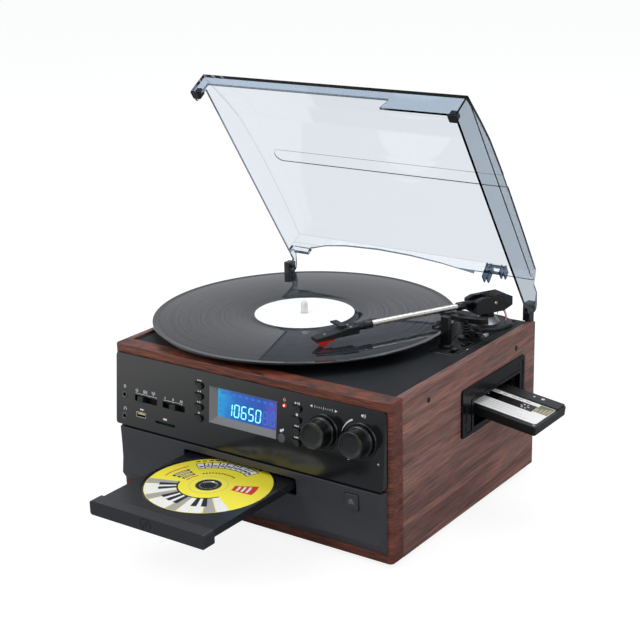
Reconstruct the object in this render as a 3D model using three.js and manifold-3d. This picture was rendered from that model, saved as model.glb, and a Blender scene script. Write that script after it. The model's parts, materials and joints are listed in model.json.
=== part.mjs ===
// All-in-one record player: turntable, tonearm, dust cover, radio front, disc tray and cassette slot.
// Lengths are millimetres. X runs to the right, Y to the back and Z up, and the front faces -Y.
// Every piece is made in the cabinet's frame: centre of the cabinet in X and Y, its underside at Z 0.

import * as THREE from 'three';
import { mergeVertices } from 'three/addons/utils/BufferGeometryUtils.js';
import Module from 'manifold-3d';

const wasm = await Module();
wasm.setup();

// A name that ends in Rise or Drop is a height above or below the piece that carries it, and one that ends
// in Inset, Overhang, Ahead, Shift or Reach is a distance from the edge or axis that it is measured from.

// Clearances that every piece shares
const seatGap = 0.3;
const runGap = 0.4;
const overrun = 2;
const sink = 0.4;

// Facets round a full turn
const discSides = 60;
const platterSides = 48;
const beltSteps = 40;
const roundSides = 24;
const pinSides = 12;
const cornerSteps = 3;

// Cabinet
const cabinetWidth = 315;
const cabinetDepth = 266;
const cabinetHeight = 151;
const frameThickness = 18.5;
const frameCornerRadius = 4.5;
const stileWidth = 9.5;
const topRailHeight = 13;
const bottomRailHeight = 14;
const middleRailBottomDrop = 85;
const middleRailHeight = 9;
const sideThickness = 9;
const rabbetWidth = 2;
const backThickness = 6;
const bottomThickness = 8;
const footRadius = 9;
const footHeight = 5;
const footInset = 26;
const deckRecess = 2;
const deckThickness = 3;
const ventWidth = 42;
const ventHeight = 3;
const ventPitch = 8;
const ventCount = 5;
const ventCentreZDrop = 41;

// Turntable
const recordRestGap = 1.05;
const recordHingeGap = 1.29;
const spindleRadius = 3.5;
const spindleTopRise = 23.8;
const spindlePoint = 5;
const spindlePointShare = 0.8;
const spindleFootDrop = 31;
const spindleFlangeRadius = 12;
const spindleFlangeThickness = 4;
const thrustRadius = 7;
const platterRadius = 98;
const platterRearInset = 20;
const platterBottomRise = 1.8;
const platterTopRise = 9;
const platterDisc = 3;
const platterSkirt = 4;
const platterDrumRadius = 55;
const platterHubRadius = 9;
const recordRadius = 150.8;
const recordThickness = 2;
const recordGrooveThickness = 1.4;
const recordLabelRadius = 50;
const recordBead = 2.5;
const recordHoleClearance = 0.2;
const pulleyDistance = 80;
const pulleyBearingDegrees = 135;
const pulleyRadius = 5;
const pulleyLip = 1;
const pulleyLipThickness = 0.8;
const beltThickness = 1.2;
const beltHeight = 3;
const motorRadius = 17;
const motorHeight = 27.7;
const motorShaftRadius = 1.2;
const motorHoleRadius = 8;

// Tonearm
const armPivotXInset = 39.5;
const armPivotYInset = 27;
const armBearingDegrees = -116;
const armAxisZRise = 24;
const liftAxisShift = -3;
const baseRingRadius = 25;
const baseRingHeight = 3;
const baseConeFoot = 12.5;
const baseConeTop = 8;
const baseConeHeight = 6;
const pivotPinRadius = 3;
const housingBottomRise = 14.5;
const housingTopRise = 30.5;
const housingFront = 20;
const housingRear = 23;
const housingHalfWidth = 10.5;
const housingCollarRadius = 7;
const housingSlotHalfWidth = 5;
const housingSlotRear = 14;
const housingSlotBottomDrop = 6;
const housingSlotTopRise = 4.2;
const housingRoofFront = 4;
const housingSideShares = [
  [-0.535, 0.28],
  [-0.305, 0],
  [0.395, 0],
  [0.465, 0.1],
  [0.465, 0.84],
  [0.3, 1],
  [-0.395, 1],
  [-0.535, 0.81],
];
const gimbalPinRadius = 1.5;
const tubeRadius = 2.8;
const tubeRootRadius = 3.2;
const tubeRootRear = 9;
const collarRadius = 4.2;
const rearCollarStart = 12;
const rearCollarEnd = 36;
const frontCollarStart = 133;
const frontCollarEnd = 142;
const tubePlugLength = 6;
const tubePlugRadius = 2.4;
const headshellFront = 194;
const headshellShoulder = 150;
const headshellNeckRadius = 4;
const headshellRearTopRise = 3;
const headshellRearBottomDrop = 4.4;
const headshellTipTopDrop = 3;
const headshellTipBottomDrop = 6.2;
const headshellHalfWidth = 8;
const headshellTipHalfWidth = 5.5;
const fingerStart = 159;
const fingerEnd = 166;
const fingerReach = 20;
const fingerThickness = 1.6;
const fingerBottomRise = 1.6;
const stylusRear = 174;
const stylusFront = 192;
const stylusHalfWidth = 4.2;
const stylusGuardHeight = 1.8;
const stylusTipPlace = 187;
const stylusTipWidth = 1.2;
const stylusHeel = 179;
const stylusLift = 0.5;

// Arm rest
const restYAhead = 80;
const restWidth = 8.3;
const restDepth = 6;
const restTopRise = 30;
const restBaseRadius = 7;
const restBaseHeight = 2;
const clipOuterX = 104;
const clipBottomDrop = 8.5;
const clipTopDrop = 4.3;
const clipSeatDrop = 6.4;
const clipLip = 1.8;
const clipDepth = 5;

// Cueing lift
const liftXShift = 4.5;
const liftYAhead = 49;
const liftRodRadius = 2.2;
const liftRodFootDrop = 11;
const platformInner = 40;
const platformOuter = 50;
const platformBottomDrop = 8.5;
const platformThickness = 4.8;
const platformStartDegrees = -136;
const platformEndDegrees = -60;
const springWire = 1.8;
const springMiddleRadius = 4.2;
const springTurns = 4;
const springCurlSteps = 8;
const springSides = 5;
const lugRadius = 8;
const lugHeight = 2;
const webHalfWidth = 6;
const cheekThickness = 2;
const cheekHeight = 10;
const cheekHalfLength = 2.6;
const leverAxisXShift = 13;
const leverAxisZRise = 7;
const leverBarrelRadius = 2.4;
const leverBarrelLength = 7;
const leverPinRadius = 1.1;
const leverRodRadius = 1.3;
const leverTipXShift = 25;
const leverTipRadius = 2.1;
const leverTipLength = 4;

// Slide switches in the deck
const deckSwitchXInset = 25.5;
const speedSwitchYAhead = 88;
const autoStopSwitchYAhead = 66.5;
const autoStopTravel = 8;
const deckSlotWidth = 6;
const deckSlotLength = 14;
const deckKnobLength = 5;
const deckKnobRise = 3;
const switchFlange = 1.4;
const switchFlangeThickness = 1.2;

// Dust cover, in heights above its rim when it is closed
const lidLeft = -139;
const lidRightInset = 1.5;
const lidFrontYInset = 1;
const lidRearTopYInset = 24;
const lidRearFootYInset = 20.5;
const lidRimZRise = 2;
const lidRise = 42;
const lidCrease = 24;
const lidShell = 2.5;
const lidShoulderRun = 4.5;
const lidHingeZRise = 14;
const lidOpenDegrees = 56.5;
const lidEarRadius = 5;
const lidEarTopYInset = 9;
const lidRightFootYInset = 4;
const lidLeftCutHeight = 17;
const lidLeftCutFrontYInset = 14;
const lidLeftCutRearYInset = 7;
const lidFrontCutHeight = 12;
const lidFrontLegRight = -126;
const lidTabLeft = 77.7;
const lidTabSlant = 4;
const lidRearCutHeight = 28;
const lidRearStepX = 90;
const lidArchLeft = -112;
const lidArchTop = 34.5;
const lidGrooveFrontYInset = 113;
const lidGrooveWidth = 16;
const lidGrooveLeft = -115;
const lidGrooveDepth = 1;
const bumperWidth = 9;
const bumperHeight = 7;
const hingePinRadius = 2;
const hingePostWidth = 7.6;
const hingePostFrontYInset = 5;
const hingePostRearYOverhang = 5;
const hingePostTopRise = 19;
const hingePlateDrop = 20;
const lidRoofShares = [
  [0, 0.575],
  [0.037, 0.625],
  [0.154, 0.79],
  [0.27, 0.92],
  [0.423, 0.975],
  [0.548, 1],
  [0.797, 0.987],
  [0.921, 0.962],
  [1, 0.947],
];
const lidArchShares = [
  [0, 0],
  [0.08, 0.52],
  [0.2, 0.84],
  [0.4, 1],
  [0.6, 0.9],
  [0.8, 0.6],
  [1, 0.1],
];

// Upper front panel
const upperHalfWidth = 154;
const upperBottomRise = 6;
const upperTopDrop = 8;
const upperTopDepth = 2;
const upperBottomDepth = 8.8;
const upperCornerRadius = 3;
const panelWall = 2.5;
const pocketMargin = 2;
const boardYInset = 6;
const boardThickness = 1.6;
const jackX = -143;
const upperJackZDrop = 40.5;
const lowerJackZDrop = 62;
const jackCollarRadius = 3.4;
const jackBoreRadius = 1.75;
const jackBlockHalfWidth = 2.8;
const functionSlotLeft = -130;
const functionSlotRight = -102;
const functionKnobX = -121;
const bandSlotLeft = -95;
const bandSlotRight = -67.5;
const bandKnobX = -81;
const slideSlotZDrop = 41.2;
const slideSlotHeight = 6;
const slideKnobWidth = 7;
const slideKnobRise = 3;
const usbX = -121.7;
const usbZDrop = 57;
const usbWidth = 12;
const usbHeight = 5;
const usbShell = 0.5;
const usbTongue = 1.4;
const cardX = -91.7;
const cardZDrop = 60;
const cardWidth = 24.5;
const cardHeight = 2.4;
const cardCageWall = 1.2;
const leftButtonX = -50.5;
const rightButtonX = 61.5;
const topButtonZDrop = 14.4;
const buttonPitch = 10.4;
const buttonsInColumn = 4;
const buttonWidth = 9.5;
const buttonHeight = 6;
const buttonRise = 2.2;
const buttonTravel = 1;
const buttonFlange = 1.1;
const buttonFlangeThickness = 1.2;
const tactRadius = 2.2;
const displayLeft = -38;
const displayRight = 39.5;
const displayBottomDrop = 47;
const displayTopDrop = 12;
const screenLeft = -30;
const screenRight = 39;
const screenBottomDrop = 40;
const screenTopDrop = 13;
const displayDepth = 5.5;
const screenDepth = 2.6;
const ledX = 47.5;
const ledZDrop = 14;
const ledRadius = 1.6;
const ledRise = 0.8;
const tuningX = 89.8;
const volumeX = 129.5;
const knobZDrop = 29.6;
const knobReach = 17.2;
const knobSkirtRadius = 14.2;
const knobSkirtHeight = 5;
const knobCapRadius = 12.2;
const knobNeckRadius = 12.8;
const knobChamfer = 1;
const knobShaftRadius = 3;
const knobRingRadius = 16.5;
const knobRingHeight = 1.2;
const encoderRadius = 6.5;
const encoderDepth = 4;

// Lower front panel
const lowerHalfWidth = 153;
const lowerBottom = 9.5;
const lowerTopRise = 3;
const lowerTopDepth = 8;
const lowerWaistDepth = 7;
const lowerWaistTopShare = 0.6807;
const lowerWaistBottomShare = 0.4454;
const lowerFlareDepth = 10.2;
const lowerFlareZShare = 0.1933;
const lowerFootDepth = 1;
const lowerEndSlant = 4;
const lowerPocketInset = 7;
const ejectXInset = 32.3;
const ejectZDrop = 10.5;
const ejectWidth = 14;
const ejectHeight = 14.5;
const ejectRise = 1;
const ejectCorner = 1.5;

// Compact disc
const trayX = -5;
const trayBarHalfWidth = 65;
const trayBarBottomDrop = 19.5;
const trayBarTopDrop = 6;
const trayBarDepth = 13.5;
const trayBarCorner = 2.5;
const trayOutFrontYReach = 135.5;
const trayPlateHalfWidth = 62.5;
const trayPlateThickness = 7;
const trayPlateTopDrop = 7.5;
const trayPlateRearYInset = 33;
const slotHeadroom = 2.5;
const discRadius = 60;
const discThickness = 1.2;
const discHoleRadius = 7.5;
const discCentreYReach = 50.5;
const discTopDrop = 8.5;
const wellClearance = 0.6;
const trayWindowHalfWidth = 19;
const trayWindowFront = 16;
const driveFrontYInset = 23;
const driveRearYInset = 178;
const driveWall = 9;
const driveTopRise = 0;
const driveBottomDrop = 28;
const driveLegWidth = 12;

// Cassette
const bezelFrontYInset = 147.7;
const bezelRearYInset = 25;
const bezelBottomDrop = 74;
const bezelTopDrop = 26.3;
const bezelRise = 1.8;
const bezelCorner = 3;
const bezelWall = 2;
const mouthFrontYInset = 127.4;
const mouthRearYInset = 36;
const mouthBottomDrop = 67.3;
const mouthTopDrop = 42.5;
const mouthStep = 4.4;
const mouthStepDepth = 5.5;
const cassetteLength = 100.4;
const cassetteWidth = 63.8;
const cassetteThickness = 8.7;
const cassetteEdgeWidth = 15;
const cassetteEdgeRise = 1.6;
const cassetteHubRadius = 5.2;
const cassetteHubSpacing = 42.5;
const cassetteHubY = 34;
const cassetteOutXOverhang = 62.5;
const cassetteFrontYInset = 120;
const cassetteOutTopZDrop = 58.5;
const cassetteTiltDegrees = 8;
const cassetteTravel = 45;
const cassetteCorner = 2;
const chassisLeftXInset = 93.5;
const chassisFrontYInset = 129;
const chassisRearYInset = 47;
const chassisBottomDrop = 73;
const chassisTopDrop = 27;

// Power supply
const supplyLeftX = -140;
const supplyRightX = -95;
const supplyDepth = 52;
const supplyHeight = 38;
const inletWidth = 19;
const inletHeight = 13;
const inletZ = 26;
const inletWall = 2;
const inletBoreDepth = 9;

// Places that follow from the sizes above
const cabinetRight = cabinetWidth / 2;
const middleRailBottom = cabinetHeight - middleRailBottomDrop;
const middleRailTop = middleRailBottom + middleRailHeight;
const frontY = -cabinetDepth / 2;
const backY = cabinetDepth / 2;
const innerX = cabinetRight - sideThickness;
const frameBackY = frontY + frameThickness;
const deckTop = cabinetHeight - deckRecess;
const deckUnder = deckTop - deckThickness;
const deckHalfWidth = innerX + rabbetWidth;
const armPivotX = cabinetRight - armPivotXInset;
const restX = armPivotX;
const liftX = armPivotX + liftXShift;
const leverAxisX = armPivotX + leverAxisXShift;
const leverTipX = armPivotX + leverTipXShift;
const deckSwitchX = cabinetRight - deckSwitchXInset;
const armPivotY = backY - armPivotYInset;
const restY = armPivotY - restYAhead;
const liftY = armPivotY - liftYAhead;
const speedSwitchY = armPivotY - speedSwitchYAhead;
const autoStopSwitchY = armPivotY - autoStopSwitchYAhead;
const armAxisZ = deckTop + armAxisZRise;
const housingBottom = deckTop + housingBottomRise;
const housingTop = deckTop + housingTopRise;
const housingSlotBottom = armAxisZ - housingSlotBottomDrop;
const housingSlotTop = armAxisZ + housingSlotTopRise;
const headshellRearTop = armAxisZ + headshellRearTopRise;
const headshellRearBottom = armAxisZ - headshellRearBottomDrop;
const headshellTipTop = armAxisZ - headshellTipTopDrop;
const headshellTipBottom = armAxisZ - headshellTipBottomDrop;
const fingerBottom = armAxisZ + fingerBottomRise;
const restTop = deckTop + restTopRise;
const clipBottom = armAxisZ - clipBottomDrop;
const clipTop = armAxisZ - clipTopDrop;
const clipSeat = armAxisZ - clipSeatDrop;
const liftRodFoot = deckTop - liftRodFootDrop;
const platformBottom = armAxisZ - platformBottomDrop;
const leverAxisZ = deckTop + leverAxisZRise;
const lidRight = cabinetRight - lidRightInset;
const lidFrontY = frontY + lidFrontYInset;
const lidGrooveFrontY = frontY + lidGrooveFrontYInset;
const lidLeftCutFrontY = frontY + lidLeftCutFrontYInset;
const lidRearTopY = backY - lidRearTopYInset;
const lidRearFootY = backY - lidRearFootYInset;
const lidHingeY = backY;
const lidEarTopY = backY - lidEarTopYInset;
const lidRightFootY = backY - lidRightFootYInset;
const lidLeftCutRearY = backY - lidLeftCutRearYInset;
const lidRimZ = cabinetHeight + lidRimZRise;
const lidHingeZ = cabinetHeight + lidHingeZRise;
const hingePostFrontY = backY - hingePostFrontYInset;
const hingePostRearY = backY + hingePostRearYOverhang;
const hingePostTop = cabinetHeight + hingePostTopRise;
const spindleX = restX - restWidth / 2 - recordRestGap - recordRadius;
const hingeAcross = spindleX - (lidLeft - seatGap);
const hingeAhead = recordHingeGap + Math.sqrt(Math.max(0, recordRadius ** 2 - hingeAcross ** 2));
const spindleY = Math.min(backY - platterRearInset - platterRadius, hingePostFrontY - hingeAhead);
const spindleTop = deckTop + spindleTopRise;
const spindleFoot = deckTop - spindleFootDrop;
const platterBottom = deckTop + platterBottomRise;
const platterTop = deckTop + platterTopRise;
const ventCentreZ = cabinetHeight - ventCentreZDrop;
const upperTop = cabinetHeight - upperTopDrop;
const upperBottom = middleRailBottom + upperBottomRise;
const boardY = frontY + boardYInset;
const upperJackZ = upperTop - upperJackZDrop;
const lowerJackZ = upperTop - lowerJackZDrop;
const slideSlotZ = upperTop - slideSlotZDrop;
const usbZ = upperTop - usbZDrop;
const cardZ = upperTop - cardZDrop;
const topButtonZ = upperTop - topButtonZDrop;
const displayBottom = upperTop - displayBottomDrop;
const displayTop = upperTop - displayTopDrop;
const screenBottom = upperTop - screenBottomDrop;
const screenTop = upperTop - screenTopDrop;
const ledZ = upperTop - ledZDrop;
const knobZ = upperTop - knobZDrop;
const lowerTop = middleRailBottom + lowerTopRise;
const lowerWaistTop = lowerBottom + lowerWaistTopShare * (lowerTop - lowerBottom);
const lowerWaistBottom = lowerBottom + lowerWaistBottomShare * (lowerTop - lowerBottom);
const lowerFlareZ = lowerBottom + lowerFlareZShare * (lowerTop - lowerBottom);
const ejectX = lowerHalfWidth - ejectXInset;
const ejectZ = middleRailBottom - ejectZDrop;
const trayBarBottom = middleRailBottom - trayBarBottomDrop;
const trayBarTop = middleRailBottom - trayBarTopDrop;
const trayPlateTop = middleRailBottom - trayPlateTopDrop;
const trayOutFrontY = frontY - trayOutFrontYReach;
const trayPlateRearY = frontY + trayPlateRearYInset;
const discCentreY = frontY - discCentreYReach;
const discTop = middleRailBottom - discTopDrop;
const driveFrontY = frontY + driveFrontYInset;
const driveRearY = frontY + driveRearYInset;
const driveTop = middleRailBottom + driveTopRise;
const driveBottom = middleRailBottom - driveBottomDrop;
const bezelFrontY = backY - bezelFrontYInset;
const bezelRearY = backY - bezelRearYInset;
const bezelBottom = cabinetHeight - bezelBottomDrop;
const bezelTop = cabinetHeight - bezelTopDrop;
const mouthFrontY = backY - mouthFrontYInset;
const mouthRearY = backY - mouthRearYInset;
const mouthBottom = cabinetHeight - mouthBottomDrop;
const mouthTop = cabinetHeight - mouthTopDrop;
const cassetteOutX = cabinetRight + cassetteOutXOverhang;
const cassetteFrontY = backY - cassetteFrontYInset;
const cassetteOutTopZ = cabinetHeight - cassetteOutTopZDrop;
const chassisLeftX = cabinetRight - chassisLeftXInset;
const chassisFrontY = backY - chassisFrontYInset;
const chassisRearY = backY - chassisRearYInset;
const chassisBottom = cabinetHeight - chassisBottomDrop;
const chassisTop = cabinetHeight - chassisTopDrop;
const openingHalfWidth = cabinetRight - stileWidth;
const openingTop = cabinetHeight - topRailHeight;
const recordBottom = platterTop + seatGap;
const recordTop = recordBottom + recordThickness;
const pulleyBearing = THREE.MathUtils.degToRad(pulleyBearingDegrees);
const pulleyX = spindleX + pulleyDistance * Math.cos(pulleyBearing);
const pulleyY = spindleY + pulleyDistance * Math.sin(pulleyBearing);
const platterDiscUnder = platterTop - platterDisc;
const faceSlope = (upperBottomDepth - upperTopDepth) / (upperTop - upperBottom);
const faceTilt = Math.atan(faceSlope);
const buttonDepth = panelWall + seatGap + buttonFlangeThickness;
const trayBackY = trayOutFrontY + trayBarDepth;
const drivePlateFloor = trayPlateTop - trayPlateThickness - seatGap;

// Finishes
const woodFinish = { color: 0x74423a, roughness: 0.45, metalness: 0 };
const deckFinish = { color: 0x2b2e33, roughness: 0.6, metalness: 0 };
const blackFinish = { color: 0x1b1c1e, roughness: 0.35, metalness: 0 };
const charcoalFinish = { color: 0x303236, roughness: 0.6, metalness: 0 };
const rubberFinish = { color: 0x111111, roughness: 0.85, metalness: 0 };
const vinylFinish = { color: 0x0d0d0e, roughness: 0.2, metalness: 0 };
const steelFinish = { color: 0xb9bcc0, roughness: 0.3, metalness: 1 };
const chromeFinish = { color: 0xe2e4e6, roughness: 0.12, metalness: 1 };
const clearFinish = { color: 0xb4c2cf, roughness: 0.08, metalness: 0, transparent: true, opacity: 0.35 };
const paleFinish = { color: 0xe9e6df, roughness: 0.35, metalness: 0 };
const screenFinish = { color: 0x2f6fd0, roughness: 0.15, metalness: 0 };
const redFinish = { color: 0xc01f1a, roughness: 0.3, metalness: 0 };
const discFinish = { color: 0xe8d31c, roughness: 0.2, metalness: 0 };
const boardFinish = { color: 0x1d5a34, roughness: 0.6, metalness: 0 };

// Solids from three.js geometry

function signedVolume(places, triangles) {
  const [a, b, c] = [new THREE.Vector3(), new THREE.Vector3(), new THREE.Vector3()];
  let volume = 0;
  for (let i = 0; i < triangles.length; i += 3) {
    a.fromArray(places, 3 * triangles[i]);
    b.fromArray(places, 3 * triangles[i + 1]);
    c.fromArray(places, 3 * triangles[i + 2]);
    volume += a.dot(b.cross(c)) / 6;
  }
  return volume;
}

// A closed solid with its faces outward, without the empty triangles that poles and seams leave.
function solid(geometry) {
  geometry.deleteAttribute('normal');
  geometry.deleteAttribute('uv');
  const merged = mergeVertices(geometry);
  const places = merged.attributes.position.array;
  const index = merged.index.array;
  const triangles = [];
  for (let i = 0; i < index.length; i += 3) {
    const [a, b, c] = [index[i], index[i + 1], index[i + 2]];
    if (a !== b && b !== c && c !== a) triangles.push(a, b, c);
  }
  if (signedVolume(places, triangles) < 0) triangles.reverse();
  return new wasm.Manifold(new wasm.Mesh({
    numProp: 3,
    vertProperties: new Float32Array(places),
    triVerts: new Uint32Array(triangles),
  }));
}

function geometryOf(shape) {
  const mesh = shape.getMesh();
  const geometry = new THREE.BufferGeometry();
  geometry.setAttribute('position', new THREE.BufferAttribute(mesh.vertProperties, mesh.numProp));
  geometry.setIndex(new THREE.BufferAttribute(mesh.triVerts, 1));
  return geometry;
}

function moved(shape, matrix) {
  return solid(geometryOf(shape).applyMatrix4(matrix));
}

function joined(...shapes) {
  return shapes.reduce((whole, shape) => whole.add(shape));
}

function cutBy(whole, ...cutters) {
  return cutters.reduce((left, cutter) => left.subtract(cutter), whole);
}

function block(x0, x1, y0, y1, z0, z1) {
  const geometry = new THREE.BoxGeometry(x1 - x0, y1 - y0, z1 - z0);
  return solid(geometry.translate((x0 + x1) / 2, (y0 + y1) / 2, (z0 + z1) / 2));
}

const unitX = new THREE.Vector3(1, 0, 0);
const unitY = new THREE.Vector3(0, 1, 0);
const unitZ = new THREE.Vector3(0, 0, 1);
const turnsTo = {
  X: new THREE.Matrix4().makeBasis(unitY, unitZ, unitX),
  Y: new THREE.Matrix4().makeBasis(unitX, unitZ, unitY.clone().negate()),
  Z: new THREE.Matrix4(),
};

// An outline extruded along an axis. Its two coordinates are the other two axes, in the order X, Y, Z.
function prism(axis, outline, from, to) {
  const settings = { depth: to - from, bevelEnabled: false, curveSegments: cornerSteps };
  const geometry = new THREE.ExtrudeGeometry(outline, settings).applyMatrix4(turnsTo[axis]);
  if (axis === 'X') geometry.translate(from, 0, 0);
  if (axis === 'Y') geometry.translate(0, to, 0);
  if (axis === 'Z') geometry.translate(0, 0, from);
  return solid(geometry);
}

function polygon(points) {
  return new THREE.Shape(points.map(([across, up]) => new THREE.Vector2(across, up)));
}

function roundedRectangle(left, right, bottom, top, radius) {
  const outline = new THREE.Shape();
  outline.absarc(right - radius, bottom + radius, radius, -Math.PI / 2, 0);
  outline.absarc(right - radius, top - radius, radius, 0, Math.PI / 2);
  outline.absarc(left + radius, top - radius, radius, Math.PI / 2, Math.PI);
  outline.absarc(left + radius, bottom + radius, radius, Math.PI, 1.5 * Math.PI);
  return outline;
}

// A round bar along an axis, centred on the other two coordinates.
function rod(axis, first, second, from, to, radius, sides) {
  const geometry = new THREE.CylinderGeometry(radius, radius, to - from, sides);
  const middle = (from + to) / 2;
  if (axis === 'X') geometry.rotateZ(Math.PI / 2).translate(middle, first, second);
  if (axis === 'Y') geometry.translate(first, middle, second);
  if (axis === 'Z') geometry.rotateX(Math.PI / 2).translate(first, second, middle);
  return solid(geometry);
}

// A turned shape about an axis, from pairs of radius and place along the axis.
function turned(axis, profile, sides) {
  const points = profile.map(([radius, along]) => new THREE.Vector2(radius, along));
  const geometry = new THREE.LatheGeometry(points, sides);
  if (axis === 'X') geometry.rotateZ(-Math.PI / 2);
  if (axis === 'Z') geometry.rotateX(Math.PI / 2);
  return solid(geometry);
}

function standing(shape, x, y) {
  return moved(shape, new THREE.Matrix4().makeTranslation(x, y, 0));
}

function addNode(parent, name, shape, finish) {
  const geometry = geometryOf(shape);
  geometry.computeVertexNormals();
  const node = new THREE.Mesh(geometry, new THREE.MeshStandardMaterial(finish));
  node.name = name;
  parent.add(node);
  return node;
}

const recordPlayer = new THREE.Group();
const cabinet = new THREE.Group();
recordPlayer.add(cabinet);

// Cabinet

function addFrontFrame() {
  const outline = new THREE.Shape();
  outline.moveTo(cabinetRight, frameBackY);
  outline.lineTo(-cabinetRight, frameBackY);
  const [cornerX, cornerY] = [cabinetRight - frameCornerRadius, frontY + frameCornerRadius];
  outline.absarc(-cornerX, cornerY, frameCornerRadius, Math.PI, 1.5 * Math.PI);
  outline.absarc(cornerX, cornerY, frameCornerRadius, -Math.PI / 2, 0);
  const frame = prism('Z', outline, 0, cabinetHeight);
  const [fromY, toY] = [frontY - overrun, frameBackY + overrun];
  const opening = (low, high) => block(-openingHalfWidth, openingHalfWidth, fromY, toY, low, high);
  const [lower, upper] = [opening(bottomRailHeight, middleRailBottom), opening(middleRailTop, openingTop)];
  addNode(cabinet, 'front_frame', cutBy(frame, lower, upper), woodFinish);
}

function sidePanel(side) {
  const [outer, inner, ledge] = [side * cabinetRight, side * innerX, side * deckHalfWidth];
  const board = block(Math.min(outer, inner), Math.max(outer, inner), frameBackY, backY, 0, cabinetHeight);
  const beyond = inner - side * overrun;
  const rabbet = block(
    Math.min(beyond, ledge), Math.max(beyond, ledge),
    frameBackY - overrun, backY + overrun, deckUnder, cabinetHeight + overrun,
  );
  return board.subtract(rabbet);
}

function addSidePanels() {
  const sleeveHole = block(
    innerX - overrun, cabinetRight + overrun,
    mouthFrontY - bezelWall - seatGap, mouthRearY + bezelWall + seatGap,
    mouthBottom - bezelWall - seatGap, mouthTop + bezelWall + seatGap,
  );
  addNode(cabinet, 'left_side_panel', sidePanel(-1), woodFinish);
  addNode(cabinet, 'right_side_panel', sidePanel(1).subtract(sleeveHole), woodFinish);
}

function inletOpening(clearance, fromY, toY) {
  const middle = (supplyLeftX + supplyRightX) / 2;
  const [halfWidth, halfHeight] = [inletWidth / 2 + clearance, inletHeight / 2 + clearance];
  return block(middle - halfWidth, middle + halfWidth, fromY, toY, inletZ - halfHeight, inletZ + halfHeight);
}

function addBackAndBottom() {
  const [insideY, outsideY] = [backY - backThickness, backY];
  let back = block(-innerX, innerX, insideY, outsideY, bottomThickness, deckUnder);
  back = back.subtract(inletOpening(seatGap, insideY - overrun, outsideY + overrun));
  for (let row = 0; row < ventCount; row += 1) {
    const z = ventCentreZ + (row - (ventCount - 1) / 2) * ventPitch;
    for (const x of [-ventWidth, ventWidth]) {
      const [left, right] = [x - ventWidth / 2, x + ventWidth / 2];
      back = back.subtract(block(left, right, insideY - overrun, outsideY + overrun, z, z + ventHeight));
    }
  }
  addNode(cabinet, 'back_panel', back, woodFinish);
  const bottom = block(-innerX, innerX, frameBackY, backY, 0, bottomThickness);
  addNode(cabinet, 'bottom_panel', bottom, woodFinish);
}

function addFeet() {
  const [x, y] = [cabinetRight - footInset, backY - footInset];
  for (const [end, sideY] of [['front', -y], ['rear', y]]) {
    for (const [side, sideX] of [['left', -x], ['right', x]]) {
      const foot = rod('Z', sideX, sideY, -footHeight, 0, footRadius, pinSides);
      addNode(cabinet, `foot_${end}_${side}`, foot, rubberFinish);
    }
  }
}

function deckSlot(y) {
  const [halfWidth, halfLength] = [deckSlotWidth / 2, deckSlotLength / 2];
  return block(
    deckSwitchX - halfWidth, deckSwitchX + halfWidth,
    y - halfLength, y + halfLength, deckUnder - overrun, deckTop + overrun,
  );
}

function addDeck() {
  const plate = block(-deckHalfWidth, deckHalfWidth, frameBackY, backY, deckUnder, deckTop);
  const [from, to] = [deckUnder - overrun, deckTop + overrun];
  const deck = cutBy(
    plate,
    rod('Z', spindleX, spindleY, from, to, spindleRadius + seatGap, pinSides),
    rod('Z', pulleyX, pulleyY, from, to, motorHoleRadius, pinSides),
    rod('Z', liftX, liftY, from, to, liftRodRadius + runGap, pinSides),
    deckSlot(speedSwitchY),
    deckSlot(autoStopSwitchY),
  );
  addNode(cabinet, 'deck_plate', deck, deckFinish);
}

// Turntable

function addSpindle() {
  const shoulder = platterBottom - seatGap;
  const profile = [
    [0, spindleFoot],
    [spindleRadius, spindleFoot],
    [spindleRadius, deckUnder - spindleFlangeThickness],
    [spindleFlangeRadius, deckUnder - spindleFlangeThickness],
    [spindleFlangeRadius, deckUnder],
    [spindleRadius, deckUnder],
    [spindleRadius, deckTop],
    [thrustRadius, deckTop],
    [thrustRadius, shoulder],
    [spindleRadius, shoulder],
    [spindleRadius, spindleTop - spindlePoint],
    [spindleRadius * spindlePointShare, spindleTop - spindlePoint / 2],
    [0, spindleTop],
  ];
  addNode(cabinet, 'spindle', standing(turned('Z', profile, roundSides), spindleX, spindleY), paleFinish);
}

function addPlatter() {
  const bore = spindleRadius + runGap;
  const profile = [
    [bore, platterBottom],
    [platterHubRadius, platterBottom],
    [platterHubRadius, platterDiscUnder],
    [platterDrumRadius - platterSkirt, platterDiscUnder],
    [platterDrumRadius - platterSkirt, platterBottom],
    [platterDrumRadius, platterBottom],
    [platterDrumRadius, platterDiscUnder],
    [platterRadius - platterSkirt, platterDiscUnder],
    [platterRadius - platterSkirt, platterBottom],
    [platterRadius, platterBottom],
    [platterRadius, platterTop],
    [bore, platterTop],
    [bore, platterBottom],
  ];
  addNode(cabinet, 'platter', standing(turned('Z', profile, platterSides), spindleX, spindleY), blackFinish);
}

function addRecord() {
  const bore = spindleRadius + recordHoleClearance;
  const relief = (recordThickness - recordGrooveThickness) / 2;
  const grooveEnd = recordRadius - recordBead;
  const profile = [
    [bore, recordBottom],
    [recordLabelRadius, recordBottom],
    [recordLabelRadius + relief, recordBottom + relief],
    [grooveEnd, recordBottom + relief],
    [recordRadius - relief, recordBottom],
    [recordRadius, recordBottom + relief],
    [recordRadius, recordTop - relief],
    [recordRadius - relief, recordTop],
    [grooveEnd, recordTop - relief],
    [recordLabelRadius + relief, recordTop - relief],
    [recordLabelRadius, recordTop],
    [bore, recordTop],
    [bore, recordBottom],
  ];
  addNode(cabinet, 'record', standing(turned('Z', profile, discSides), spindleX, spindleY), vinylFinish);
}

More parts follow.
